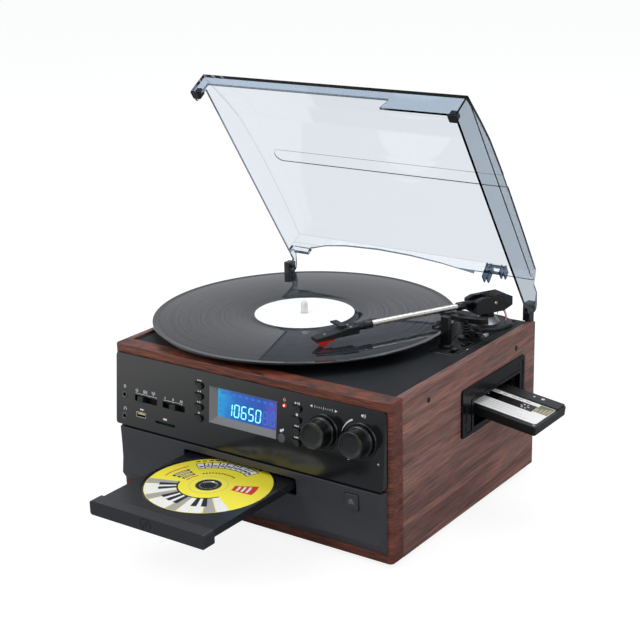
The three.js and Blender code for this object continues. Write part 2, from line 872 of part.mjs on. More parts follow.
function addMotor() {
  const motorTop = deckUnder - seatGap;
  const shaftTop = platterDiscUnder - seatGap - pulleyLipThickness;
  const motor = joined(
    rod('Z', pulleyX, pulleyY, motorTop - motorHeight, motorTop, motorRadius, roundSides),
    rod('Z', pulleyX, pulleyY, motorTop - sink, shaftTop, motorShaftRadius, pinSides),
  );
  addNode(cabinet, 'turntable_motor', motor, steelFinish);
}

function addPulley() {
  const bore = motorShaftRadius + seatGap;
  const top = platterDiscUnder - seatGap;
  const bottom = top - beltHeight - 2 * seatGap - 2 * pulleyLipThickness;
  const profile = [
    [bore, bottom],
    [pulleyRadius + pulleyLip, bottom],
    [pulleyRadius + pulleyLip, bottom + pulleyLipThickness],
    [pulleyRadius, bottom + pulleyLipThickness],
    [pulleyRadius, top - pulleyLipThickness],
    [pulleyRadius + pulleyLip, top - pulleyLipThickness],
    [pulleyRadius + pulleyLip, top],
    [bore, top],
    [bore, bottom],
  ];
  addNode(cabinet, 'motor_pulley', standing(turned('Z', profile, pinSides), pulleyX, pulleyY), paleFinish);
}

// The belt's loop round the platter's drum and the pulley, with the pulley out along X.
function beltLoop(growth) {
  const [large, small] = [platterDrumRadius + seatGap + growth, pulleyRadius + seatGap + growth];
  const lean = Math.acos((large - small) / pulleyDistance);
  const roundDrum = new THREE.EllipseCurve(0, 0, large, large, lean, 2 * Math.PI - lean);
  const roundPulley = new THREE.EllipseCurve(pulleyDistance, 0, small, small, -lean, lean);
  return new THREE.Shape([...roundDrum.getPoints(beltSteps), ...roundPulley.getPoints(pinSides / 2)]);
}

function addBelt() {
  const top = platterDiscUnder - 2 * seatGap - pulleyLipThickness;
  const outside = prism('Z', beltLoop(beltThickness), top - beltHeight, top);
  const inside = prism('Z', beltLoop(0), top - beltHeight - overrun, top + overrun);
  const loop = outside.subtract(inside);
  const place = new THREE.Matrix4().makeRotationZ(pulleyBearing).setPosition(spindleX, spindleY, 0);
  addNode(cabinet, 'drive_belt', moved(loop, place), rubberFinish);
}

// Tonearm base and arm

const leverCheekY = leverBarrelLength / 2 + seatGap;

// The casting that carries the arm's bearing pin, the lift's rod and the lever's two cheeks.
function addTonearmBase() {
  const ringTop = deckTop + baseRingHeight;
  const coneTop = ringTop + baseConeHeight;
  const bearing = turned('Z', [
    [0, deckTop],
    [baseRingRadius, deckTop],
    [baseRingRadius, ringTop - baseRingHeight / 3],
    [baseRingRadius - baseRingHeight / 3, ringTop],
    [baseConeFoot, ringTop],
    [baseConeTop, coneTop],
    [pivotPinRadius, coneTop],
    [pivotPinRadius, armAxisZ - collarRadius],
    [0, armAxisZ - collarRadius],
  ], roundSides);
  const cheeks = [-1, 1].map((side) => {
    const near = side * leverCheekY;
    const far = near + side * cheekThickness;
    return block(
      leverAxisX - cheekHalfLength, leverAxisX + cheekHalfLength,
      liftY + Math.min(near, far), liftY + Math.max(near, far), deckTop, deckTop + cheekHeight,
    );
  });
  const reach = leverCheekY + cheekThickness;
  const casting = joined(
    standing(bearing, armPivotX, armPivotY),
    block(liftX - webHalfWidth, liftX + webHalfWidth, liftY, armPivotY, deckTop, deckTop + lugHeight),
    rod('Z', liftX, liftY, deckTop, deckTop + lugHeight, lugRadius, roundSides),
    block(liftX, leverAxisX + cheekHalfLength, liftY - reach, liftY + reach, deckTop, deckTop + lugHeight),
    ...cheeks,
  );
  const [pinFrom, pinTo] = [liftY - reach - overrun, liftY + reach + overrun];
  const [rodFrom, rodTo] = [deckTop - overrun, deckTop + lugHeight + overrun];
  const cut = cutBy(
    casting,
    rod('Z', liftX, liftY, rodFrom, rodTo, liftRodRadius + runGap, pinSides),
    rod('Y', leverAxisX, leverAxisZ, pinFrom, pinTo, leverPinRadius + seatGap, pinSides),
  );
  addNode(cabinet, 'tonearm_base', cut, blackFinish);
}

const arm = new THREE.Group();
arm.position.set(armPivotX, armPivotY, 0);
arm.rotation.z = THREE.MathUtils.degToRad(armBearingDegrees);
cabinet.add(arm);

// The housing turns on the base's pin and holds the arm's cross pin. The arm runs along X here.
function addPivotHousing() {
  const [run, rise] = [housingFront + housingRear, housingTop - housingBottom];
  const sideView = polygon(housingSideShares.map(([along, up]) => [along * run, housingBottom + up * rise]));
  const collarBottom = deckTop + baseRingHeight + baseConeHeight + seatGap;
  const shell = joined(
    prism('Y', sideView, -housingHalfWidth, housingHalfWidth),
    rod('Z', 0, 0, collarBottom, housingBottom + sink, housingCollarRadius, roundSides),
  );
  const [slotHalf, slotFront] = [housingSlotHalfWidth, housingFront + overrun];
  addNode(arm, 'pivot_housing', cutBy(
    shell,
    block(-housingSlotRear, slotFront, -slotHalf, slotHalf, housingSlotBottom, housingSlotTop),
    block(housingRoofFront, slotFront, -slotHalf, slotHalf, housingSlotBottom, housingTop + overrun),
    rod('Z', 0, 0, collarBottom - overrun, housingSlotBottom + overrun, pivotPinRadius + seatGap, pinSides),
    rod('Y', liftAxisShift, armAxisZ, -housingRear, housingRear, gimbalPinRadius + seatGap, pinSides),
  ), blackFinish);
}

function addArmTube() {
  const profile = [
    [0, -tubeRootRear],
    [tubeRootRadius, -tubeRootRear],
    [tubeRootRadius, rearCollarStart],
    [collarRadius, rearCollarStart],
    [collarRadius, rearCollarEnd],
    [tubeRadius, rearCollarEnd],
    [tubeRadius, frontCollarStart],
    [collarRadius, frontCollarStart],
    [collarRadius, frontCollarEnd],
    [tubePlugRadius, frontCollarEnd],
    [tubePlugRadius, frontCollarEnd + tubePlugLength],
    [0, frontCollarEnd + tubePlugLength],
  ];
  const lift = new THREE.Matrix4().makeTranslation(0, 0, armAxisZ);
  const tube = moved(turned('X', profile, pinSides), lift);
  const reach = housingHalfWidth - seatGap;
  const pin = rod('Y', liftAxisShift, armAxisZ, -reach, reach, gimbalPinRadius, pinSides);
  addNode(arm, 'arm_tube', joined(tube, pin), chromeFinish);
}

function addHeadshell() {
  const rear = frontCollarEnd + seatGap;
  const sideView = polygon([
    [headshellShoulder, headshellRearBottom],
    [headshellFront, headshellTipBottom],
    [headshellFront, headshellTipTop],
    [headshellShoulder, headshellRearTop],
  ]);
  const topView = polygon([
    [headshellShoulder, -headshellHalfWidth],
    [headshellFront, -headshellTipHalfWidth],
    [headshellFront, headshellTipHalfWidth],
    [headshellShoulder, headshellHalfWidth],
  ]);
  const wedge = prism('Y', sideView, -headshellHalfWidth, headshellHalfWidth)
    .intersect(prism('Z', topView, headshellTipBottom - overrun, headshellRearTop + overrun));
  const neck = rod('X', 0, armAxisZ, rear, headshellShoulder + sink, headshellNeckRadius, pinSides);
  const fingerTop = fingerBottom + fingerThickness;
  const finger = block(fingerStart, fingerEnd, -fingerReach, 0, fingerBottom, fingerTop);
  const fingerRoot = block(
    fingerStart, fingerEnd, -headshellTipHalfWidth, 0, headshellTipTop, fingerBottom + sink,
  );
  const socketEnd = frontCollarEnd + tubePlugLength + seatGap;
  const socket = rod('X', 0, armAxisZ, rear - overrun, socketEnd, tubePlugRadius + seatGap, pinSides);
  addNode(arm, 'headshell', joined(wedge, neck, finger, fingerRoot).subtract(socket), blackFinish);
}

function addStylus() {
  const top = headshellTipBottom - seatGap;
  const tip = recordTop + stylusLift;
  const sideView = polygon([
    [stylusRear, top],
    [stylusRear, top - stylusGuardHeight],
    [stylusHeel, top - stylusGuardHeight],
    [stylusTipPlace - stylusTipWidth, tip],
    [stylusTipPlace, tip],
    [stylusFront, top - stylusGuardHeight],
    [stylusFront, top],
  ]);
  addNode(arm, 'stylus', prism('Y', sideView, -stylusHalfWidth, stylusHalfWidth), redFinish);
}

function addArmRest() {
  const [halfWidth, halfDepth] = [restWidth / 2, restDepth / 2];
  const post = joined(
    rod('Z', restX, restY, deckTop, deckTop + restBaseHeight, restBaseRadius, roundSides),
    block(restX - halfWidth, restX + halfWidth, restY - halfDepth, restY + halfDepth, deckTop, restTop),
  );
  addNode(cabinet, 'arm_rest', post, blackFinish);
  const root = restX - halfWidth - seatGap;
  const jaw = polygon([
    [root, clipBottom],
    [root, clipTop],
    [root - clipLip, clipTop],
    [root - 2 * clipLip, clipSeat],
    [clipOuterX + 2 * clipLip, clipSeat],
    [clipOuterX + clipLip, clipTop],
    [clipOuterX, clipTop],
    [clipOuterX, clipBottom],
  ]);
  addNode(cabinet, 'arm_clip', prism('Y', jaw, restY - clipDepth / 2, restY + clipDepth / 2), blackFinish);
}

// Cueing lift

function addLiftPlatform() {
  const [start, end] = [platformStartDegrees, platformEndDegrees].map(THREE.MathUtils.degToRad);
  const band = new THREE.Shape();
  band.absarc(0, 0, platformOuter, start, end);
  band.absarc(0, 0, platformInner, end, start, true);
  const settings = { depth: platformThickness, bevelEnabled: false, curveSegments: pinSides };
  const pad = new THREE.ExtrudeGeometry(band, settings);
  const arc = solid(pad.translate(armPivotX, armPivotY, platformBottom));
  const rodTop = platformBottom + platformThickness / 2;
  const platform = joined(arc, rod('Z', liftX, liftY, liftRodFoot, rodTop, liftRodRadius, pinSides));
  addNode(cabinet, 'lift_platform', platform, blackFinish);
}

const springBottom = deckTop + lugHeight + seatGap;
const springTop = platformBottom - seatGap;
const springPitch = (springTop - springBottom - springWire) / springTurns;

function springPoint(turn) {
  const angle = 2 * Math.PI * turn;
  const height = springBottom + springWire / 2 + springPitch * turn;
  const [across, along] = [springMiddleRadius * Math.cos(angle), springMiddleRadius * Math.sin(angle)];
  return new THREE.Vector3(liftX + across, liftY + along, height);
}

// One unbroken wire of the spring: rings of points joined in a chain, with a flat end at each side.
function addLiftSpring() {
  const rings = springTurns * springCurlSteps;
  const places = [];
  const triangles = [];
  for (let ring = 0; ring <= rings; ring += 1) {
    const turn = ring / springCurlSteps;
    const centre = springPoint(turn);
    const outward = new THREE.Vector3(Math.cos(2 * Math.PI * turn), Math.sin(2 * Math.PI * turn), 0);
    for (let side = 0; side < springSides; side += 1) {
      const angle = (2 * Math.PI * side) / springSides;
      const point = centre.clone()
        .addScaledVector(outward, (springWire / 2) * Math.cos(angle))
        .addScaledVector(unitZ, (springWire / 2) * Math.sin(angle));
      places.push(point.x, point.y, point.z);
      if (ring === rings) continue;
      const next = (side + 1) % springSides;
      const [a, b] = [ring * springSides + side, ring * springSides + next];
      triangles.push(a, b, a + springSides, b, b + springSides, a + springSides);
    }
  }
  for (let side = 1; side < springSides - 1; side += 1) {
    const last = rings * springSides;
    triangles.push(0, side + 1, side, last, last + side, last + side + 1);
  }
  const geometry = new THREE.BufferGeometry();
  geometry.setAttribute('position', new THREE.Float32BufferAttribute(places, 3));
  geometry.setIndex(triangles);
  addNode(cabinet, 'lift_spring', solid(geometry), steelFinish);
}

function leastSpringGap() {
  const half = springCurlSteps / 2;
  const steps = springTurns * springCurlSteps;
  let least = Infinity;
  for (let i = 0; i <= steps; i += 1) {
    for (let j = i + half; j <= steps; j += 1) {
      const apart = springPoint(i / springCurlSteps).distanceTo(springPoint(j / springCurlSteps));
      least = Math.min(least, apart - springWire);
    }
  }
  return least;
}
console.log(`Least gap between the lift spring's curls: ${leastSpringGap().toFixed(2)} mm`);

function addLiftLever() {
  const barrelHalf = leverBarrelLength / 2;
  const pinHalf = leverCheekY + cheekThickness;
  const tipStart = leverTipX - leverTipLength;
  const lever = joined(
    rod('Y', leverAxisX, leverAxisZ, liftY - barrelHalf, liftY + barrelHalf, leverBarrelRadius, pinSides),
    rod('Y', leverAxisX, leverAxisZ, liftY - pinHalf, liftY + pinHalf, leverPinRadius, pinSides),
    rod('X', liftY, leverAxisZ, leverAxisX, tipStart + sink, leverRodRadius, pinSides),
    rod('X', liftY, leverAxisZ, tipStart, leverTipX, leverTipRadius, pinSides),
  );
  addNode(cabinet, 'lift_lever', lever, steelFinish);
}

// Slide switches in the deck

function addDeckSwitch(name, y) {
  const [halfWidth, halfLength] = [deckSlotWidth / 2 - runGap, deckKnobLength / 2];
  const flangeTop = deckUnder - seatGap;
  const knob = joined(
    block(
      deckSwitchX - halfWidth, deckSwitchX + halfWidth,
      y - halfLength, y + halfLength, flangeTop - sink, deckTop + deckKnobRise,
    ),
    block(
      deckSwitchX - halfWidth - switchFlange, deckSwitchX + halfWidth + switchFlange,
      y - halfLength, y + halfLength, flangeTop - switchFlangeThickness, flangeTop,
    ),
  );
  addNode(cabinet, name, knob, blackFinish);
}

// Dust cover, made closed and then turned open about its hinge

const lidPivot = new THREE.Group();
lidPivot.position.set(0, lidHingeY, lidHingeZ);
lidPivot.rotation.x = -THREE.MathUtils.degToRad(lidOpenDegrees);
cabinet.add(lidPivot);
const lid = new THREE.Group();
lid.position.set(0, -lidHingeY, -lidHingeZ);
lidPivot.add(lid);

// The roof's line from front to back, lowered and drawn in by a wall's thickness for the inside.
function roofLine(wall) {
  const depth = lidRearTopY - lidFrontY - 2 * wall;
  return lidRoofShares.map(([along, up]) => [
    lidFrontY + wall + along * depth,
    lidRimZ + up * lidRise - wall,
  ]);
}

function lidSideOutline() {
  const earTop = lidHingeZ + lidEarRadius;
  const outline = new THREE.Shape();
  outline.moveTo(lidFrontY, lidRimZ);
  for (const [y, z] of roofLine(0)) outline.lineTo(y, z);
  outline.lineTo(lidRearFootY, lidRimZ + lidCrease);
  outline.lineTo(lidEarTopY, lidRimZ + lidCrease);
  outline.lineTo(lidHingeY + lidEarRadius / 2, earTop);
  outline.absarc(lidHingeY, lidHingeZ, lidEarRadius, Math.PI / 3, -Math.PI / 2, true);
  outline.lineTo(lidRightFootY, lidRimZ);
  return outline;
}

// The cover's cross section: upright walls to the crease, then shoulders that lean in towards the roof.
function lidCrossOutline(wall) {
  const [left, right] = [lidLeft + wall, lidRight - wall];
  const [floor, crease, top] = [lidRimZ - overrun, lidRimZ + lidCrease, lidRimZ + lidRise];
  const [low, run] = [wall > 0 ? floor - overrun : floor, lidShoulderRun];
  return polygon([
    [left, low],
    [right, low],
    [right, crease],
    [right - run, top],
    [left + run, top],
    [left, crease],
  ]);
}

function lidInside() {
  const rear = lidRearTopY - lidShell;
  const inner = polygon([
    [lidFrontY + lidShell, lidRimZ - overrun],
    ...roofLine(lidShell),
    [rear + lidRearFootY - lidRearTopY, lidRimZ + lidRearCutHeight],
    [rear + lidRearFootY - lidRearTopY, lidRimZ - overrun],
  ]);
  return prism('X', inner, lidLeft + lidShell, lidRight - lidShell)
    .intersect(prism('Y', lidCrossOutline(lidShell), lidFrontY, backY));
}

// What is open behind the record: the gap between the ears, the arch and the step beside it.
function lidRearCuts() {
  const fromY = lidRearTopY - 2 * lidShell - overrun;
  const toY = lidHingeY + lidEarRadius + overrun;
  const [left, right] = [lidLeft + lidShell, lidRight - lidShell];
  const archDepth = lidArchTop - lidCrease;
  const arch = polygon([
    [lidArchLeft, lidRimZ],
    ...lidArchShares.map(([along, up]) => [
      lidArchLeft + along * (lidRearStepX - lidArchLeft),
      lidRimZ + lidCrease + up * archDepth,
    ]),
    [lidRearStepX, lidRimZ],
  ]);
  return [
    prism('Y', arch, fromY, toY),
    block(lidRearStepX - overrun, right, fromY, toY, lidRimZ - overrun, lidRimZ + lidRearCutHeight),
    block(left, lidArchLeft + overrun, fromY, toY, lidRimZ - overrun, lidRimZ + lidLeftCutHeight),
    block(left, right, lidRearFootY + overrun, toY, lidRimZ - overrun, lidRimZ + lidRise),
  ];
}

function lidFrontCut() {
  const [floor, edge] = [lidRimZ - overrun, lidRimZ + lidFrontCutHeight];
  const gap = polygon([
    [lidFrontLegRight, floor],
    [lidTabLeft, floor],
    [lidTabLeft, lidRimZ],
    [lidTabLeft + lidTabSlant, edge],
    [lidFrontLegRight, edge],
  ]);
  return prism('Y', gap, lidFrontY - overrun, lidFrontY + lidShell + overrun);
}

function lidLeftCut() {
  const edge = lidRimZ + lidLeftCutHeight;
  const gap = polygon([
    [lidLeftCutFrontY, lidRimZ - overrun],
    [lidLeftCutFrontY, edge],
    [lidLeftCutRearY, edge],
    [lidHingeY - lidEarRadius, lidHingeZ - lidEarRadius / 2],
    [lidHingeY, lidHingeZ - lidEarRadius],
    [lidHingeY, lidRimZ - overrun],
  ]);
  return prism('X', gap, lidLeft - overrun, lidLeft + lidShell + overrun);
}

// The long groove pressed into the roof, round at its left end and open at the right.
function lidGroove() {
  const middle = lidGrooveFrontY + lidGrooveWidth / 2;
  const outline = roundedRectangle(
    lidGrooveLeft, lidRight + lidGrooveWidth,
    lidGrooveFrontY, lidGrooveFrontY + lidGrooveWidth, lidGrooveWidth / 2 - sink,
  );
  const share = (middle - lidFrontY) / (lidRearTopY - lidFrontY);
  const after = lidRoofShares.findIndex(([along]) => along > share);
  const [[from, low], [to, high]] = [lidRoofShares[after - 1], lidRoofShares[after]];
  const roof = lidRimZ + lidRise * (low + ((high - low) * (share - from)) / (to - from));
  return prism('Z', outline, roof - lidGrooveDepth, roof + overrun);
}

function addDustCover() {
  const outer = prism('X', lidSideOutline(), lidLeft, lidRight)
    .intersect(prism('Y', lidCrossOutline(0), lidFrontY - overrun, lidHingeY + lidEarRadius + overrun));
  const hole = hingePinRadius + seatGap;
  const cover = cutBy(
    outer,
    lidInside(),
    ...lidRearCuts(),
    lidFrontCut(),
    lidLeftCut(),
    lidGroove(),
    rod('X', lidHingeY, lidHingeZ, lidLeft - overrun, lidRight + overrun, hole, pinSides),
  );
  addNode(lid, 'dust_cover', cover, clearFinish);
}

// A rubber block in a front corner of the cover, with a pad under the rim that lands on the cabinet.
function addBumper(name, side) {
  const wallX = side < 0 ? lidLeft : lidRight;
  const inward = -side;
  const [padOuter, padInner] = [wallX, wallX + inward * bumperWidth];
  const blockOuter = wallX + inward * (lidShell + seatGap);
  const [padFront, padRear] = [lidFrontY, lidFrontY + bumperWidth];
  const bumper = joined(
    block(
      Math.min(padOuter, padInner), Math.max(padOuter, padInner),
      padFront, padRear, cabinetHeight + seatGap, lidRimZ - seatGap,
    ),
    block(
      Math.min(blockOuter, padInner), Math.max(blockOuter, padInner),
      padFront + lidShell + seatGap, padRear, lidRimZ - seatGap - sink, lidRimZ + bumperHeight,
    ),
  );
  addNode(lid, name, bumper, rubberFinish);
}

// A hinge post with its pin, carried on the cabinet's top and screwed against its back.
function addHinge(name, innerFace, earOuter, footZ) {
  const outward = Math.sign(earOuter - innerFace);
  const [postFrom, postTo] = [innerFace - outward * hingePostWidth, innerFace];
  const [left, right] = [Math.min(postFrom, postTo), Math.max(postFrom, postTo)];
  const pinRoot = innerFace - outward * sink;
  const [pinFrom, pinTo] = [Math.min(pinRoot, earOuter), Math.max(pinRoot, earOuter)];
  const shapes = [
    block(left, right, hingePostFrontY, hingePostRearY, footZ, hingePostTop),
    block(left, right, backY, hingePostRearY, footZ - hingePlateDrop, footZ + sink),
    rod('X', lidHingeY, lidHingeZ, pinFrom, pinTo, hingePinRadius, pinSides),
  ];
  addNode(cabinet, name, joined(...shapes), blackFinish);
}

function addHinges() {
  const rightFace = lidRight - lidShell - seatGap;
  const leftFace = lidLeft - seatGap;
  addHinge('hinge_left', leftFace, lidLeft + lidShell, deckTop);
  addHinge('hinge_right', rightFace, lidRight, cabinetHeight);
}

// Upper front panel, whose face leans back towards the top

function faceY(z) {
  return frontY - upperTopDepth - (upperTop - z) * faceSlope;
}

// Places a shape made about the origin, with -Y out of the face, on the leaning face.
function onFace(x, z) {
  return new THREE.Matrix4().makeRotationX(-faceTilt).setPosition(x, faceY(z), z);
}

function buttonOutline(growth) {
  const [halfWidth, halfHeight] = [buttonWidth / 2 + growth, buttonHeight / 2 + growth];
  const outline = new THREE.Shape();
  outline.moveTo(-halfWidth, -halfHeight);
  outline.absarc(halfWidth - halfHeight, 0, halfHeight, -Math.PI / 2, Math.PI / 2);
  outline.lineTo(-halfWidth, halfHeight);
  return outline;
}

function buttonPlaces() {
  const places = [];
  for (const [side, x] of [['left', leftButtonX], ['right', rightButtonX]]) {
    for (let row = 0; row < buttonsInColumn; row += 1) {
      places.push([`${side}_button_${row + 1}`, x, topButtonZ - row * buttonPitch]);
    }
  }
  return places;
}

function slotOutline(left, right, growth) {
  const half = slideSlotHeight / 2 + growth;
  return roundedRectangle(left - growth, right + growth, -half, half, slideSlotHeight / 6);
}

function throughFace(outline) {
  return prism('Y', outline, -upperBottomDepth, upperBottomDepth);
}

function knobRing(x) {
  const inner = knobSkirtRadius + runGap;
  const ring = turned('Y', [
    [inner, sink],
    [inner, -knobRingHeight],
    [knobRingRadius - knobRingHeight, -knobRingHeight],
    [knobRingRadius, sink],
    [inner, sink],
  ], roundSides);
  return moved(ring, onFace(x, knobZ));
}

const displayHalfWidth = (displayRight - displayLeft) / 2;
const displayHalfHeight = (displayTop - displayBottom) / 2;
const displayX = (displayLeft + displayRight) / 2;
const displayZ = (displayBottom + displayTop) / 2;
const jackZ = (upperJackZ + lowerJackZ) / 2;
const jackHalfSpacing = (upperJackZ - lowerJackZ) / 2;

function panelCutters() {
  const cutters = buttonPlaces().map(([, x, z]) => moved(throughFace(buttonOutline(runGap)), onFace(x, z)));
  const displayHole = roundedRectangle(
    -displayHalfWidth - seatGap, displayHalfWidth + seatGap,
    -displayHalfHeight - seatGap, displayHalfHeight + seatGap, upperCornerRadius / 3,
  );
  const usbHole = roundedRectangle(
    -usbWidth / 2 - seatGap, usbWidth / 2 + seatGap,
    -usbHeight / 2 - seatGap, usbHeight / 2 + seatGap, usbShell,
  );
  const [halfCardWidth, halfCardHeight] = [cardWidth / 2, cardHeight / 2];
  const cardHole = roundedRectangle(
    -halfCardWidth, halfCardWidth, -halfCardHeight, halfCardHeight, halfCardHeight / 2,
  );
  cutters.push(
    moved(throughFace(displayHole), onFace(displayX, displayZ)),
    moved(throughFace(usbHole), onFace(usbX, usbZ)),
    moved(throughFace(cardHole), onFace(cardX, cardZ)),
    moved(throughFace(slotOutline(functionSlotLeft, functionSlotRight, 0)), onFace(0, slideSlotZ)),
    moved(throughFace(slotOutline(bandSlotLeft, bandSlotRight, 0)), onFace(0, slideSlotZ)),
  );
  const rounds = [
    [jackX, upperJackZ, jackCollarRadius + seatGap],
    [jackX, lowerJackZ, jackCollarRadius + seatGap],
    [ledX, ledZ, ledRadius + seatGap],
    [tuningX, knobZ, knobShaftRadius + seatGap],
    [volumeX, knobZ, knobShaftRadius + seatGap],
  ];
  for (const [x, z, radius] of rounds) {
    const hole = rod('Y', 0, 0, -upperBottomDepth, upperBottomDepth, radius, pinSides);
    cutters.push(moved(hole, onFace(x, z)));
  }
  return cutters;
}

function addUpperPanel() {
  const body = prism('X', polygon([
    [frontY, upperBottom],
    [faceY(upperBottom), upperBottom],
    [faceY(upperTop), upperTop],
    [frontY, upperTop],
  ]), -upperHalfWidth, upperHalfWidth);
  const corners = roundedRectangle(-upperHalfWidth, upperHalfWidth, upperBottom, upperTop, upperCornerRadius);
  const [pocketBottom, pocketTop] = [middleRailTop + pocketMargin, openingTop - pocketMargin];
  const pocket = prism('X', polygon([
    [frontY + overrun, pocketBottom],
    [faceY(pocketBottom) + panelWall, pocketBottom],
    [faceY(pocketTop) + panelWall, pocketTop],
    [frontY + overrun, pocketTop],
  ]), pocketMargin - openingHalfWidth, openingHalfWidth - pocketMargin);
  const plate = body.intersect(prism('Y', corners, frontY - upperBottomDepth - overrun, frontY + overrun));
  const panel = joined(plate.subtract(pocket), knobRing(tuningX), knobRing(volumeX));
  addNode(cabinet, 'upper_panel', cutBy(panel, ...panelCutters()), blackFinish);
}

// A group on the leaning face: -Y points out of it.
function faceGroup(x, z) {
  const group = new THREE.Group();
  group.position.set(x, faceY(z), z);
  group.rotation.x = -faceTilt;
  cabinet.add(group);
  return group;
}

function addButtons() {
  for (const [name, x, z] of buttonPlaces()) {
    const flangeStart = panelWall + seatGap;
    const button = joined(
      prism('Y', buttonOutline(0), -buttonRise, flangeStart + sink),
      prism('Y', buttonOutline(buttonFlange), flangeStart, buttonDepth),
    );
    addNode(faceGroup(x, z), name, button, charcoalFinish);
  }
}

function addDisplay() {
  const [halfWidth, halfHeight] = [displayHalfWidth, displayHalfHeight];
  const outline = roundedRectangle(-halfWidth, halfWidth, -halfHeight, halfHeight, usbShell);
  const screen = block(
    screenLeft - displayX, screenRight - displayX, -sink - overrun, screenDepth,
    screenBottom - displayZ, screenTop - displayZ,
  );
  const display = prism('Y', outline, -sink, displayDepth).subtract(screen);
  addNode(faceGroup(displayX, displayZ), 'lcd_window', display, screenFinish);
}

function addPowerLed() {
  const depth = boardY - faceY(ledZ) - 2 * seatGap;
  const led = rod('Y', 0, 0, -ledRise, depth, ledRadius, pinSides);
  addNode(faceGroup(ledX, ledZ), 'power_led', led, redFinish);
}

function addAudioJacks() {
  const depth = boardY - faceY(jackZ) - jackHalfSpacing * faceSlope - 3 * seatGap;
  const front = panelWall + seatGap;
  const reach = jackHalfSpacing / Math.cos(faceTilt);
  const half = jackBlockHalfWidth;
  let jacks = block(-half, half, front, depth, -reach - half, reach + half);
  for (const z of [-reach, reach]) {
    jacks = jacks.add(rod('Y', 0, z, -sink, front + sink, jackCollarRadius, pinSides));
    jacks = jacks.subtract(rod('Y', 0, z, -sink - overrun, depth - panelWall, jackBoreRadius, pinSides));
  }
  addNode(faceGroup(jackX, jackZ), 'audio_jacks', jacks, blackFinish);
}

function addUsbSocket() {
  const depth = boardY - faceY(usbZ) - 3 * seatGap;
  const [halfWidth, halfHeight] = [usbWidth / 2, usbHeight / 2];
  const shell = block(-halfWidth, halfWidth, -sink, depth, -halfHeight, halfHeight);
  const bore = block(
    usbShell - halfWidth, halfWidth - usbShell, -sink - overrun, depth - panelWall,
    usbShell - halfHeight, halfHeight - usbShell,
  );
  const tongueHalf = halfWidth - 2 * usbShell;
  const tongue = block(-tongueHalf, tongueHalf, 0, depth - panelWall + sink, 0, usbTongue);
  addNode(faceGroup(usbX, usbZ), 'usb_socket', joined(shell.subtract(bore), tongue), steelFinish);
}

function addSlideSwitch(name, x) {
  const flangeStart = panelWall + seatGap;
  const [halfWidth, halfHeight] = [slideKnobWidth / 2, slideSlotHeight / 2 - runGap];
  const knob = joined(
    block(-halfWidth, halfWidth, -slideKnobRise, flangeStart + sink, -halfHeight, halfHeight),
    block(
      -halfWidth, halfWidth, flangeStart, flangeStart + switchFlangeThickness,
      -halfHeight - switchFlange, halfHeight + switchFlange,
    ),
  );
  addNode(faceGroup(x, slideSlotZ), name, knob, blackFinish);
}

function addKnob(name, x) {
  const shaftEnd = boardY - encoderDepth - faceY(knobZ) - 2 * seatGap;
  const profile = [
    [0, shaftEnd],
    [knobShaftRadius, shaftEnd],
    [knobShaftRadius, -seatGap],
    [knobSkirtRadius, -seatGap],
    [knobSkirtRadius, knobChamfer - knobSkirtHeight],
    [knobSkirtRadius - knobChamfer, -knobSkirtHeight],
    [knobNeckRadius, -knobSkirtHeight],
    [knobCapRadius, knobChamfer - knobReach],
    [knobCapRadius - knobChamfer, -knobReach],
    [0, -knobReach],
  ];
  addNode(faceGroup(x, knobZ), name, turned('Y', profile, roundSides), blackFinish);
}

// The board behind the front: push switches, the knobs' encoders and the cage of the card slot.
function addMainBoard() {
  const halfWidth = openingHalfWidth - seatGap;
  const [bottom, top] = [middleRailTop + seatGap, openingTop - seatGap];
  const shapes = [block(-halfWidth, halfWidth, boardY, boardY + boardThickness, bottom, top)];
  for (const [, x, z] of buttonPlaces()) {
    const front = faceY(z) + buttonDepth + buttonTravel + 2 * seatGap;
    shapes.push(block(x - tactRadius, x + tactRadius, front, boardY + sink, z - tactRadius, z + tactRadius));
  }
  for (const x of [tuningX, volumeX]) {
    shapes.push(rod('Y', x, knobZ, boardY - encoderDepth, boardY + sink, encoderRadius, pinSides));
  }
  const cageFront = faceY(cardZ) + panelWall + seatGap;
  const [cardHalf, cardHalfHeight] = [cardWidth / 2, cardHeight / 2];
  shapes.push(block(
    cardX - cardHalf - cardCageWall, cardX + cardHalf + cardCageWall, cageFront, boardY + sink,
    cardZ - cardHalfHeight - cardCageWall, cardZ + cardHalfHeight + cardCageWall,
  ));
  const cardBay = block(
    cardX - cardHalf, cardX + cardHalf, cageFront - overrun, boardY - cardCageWall,
    cardZ - cardHalfHeight, cardZ + cardHalfHeight,
  );
  addNode(cabinet, 'main_board', joined(...shapes).subtract(cardBay), boardFinish);
}

// Lower front panel, waisted across its height

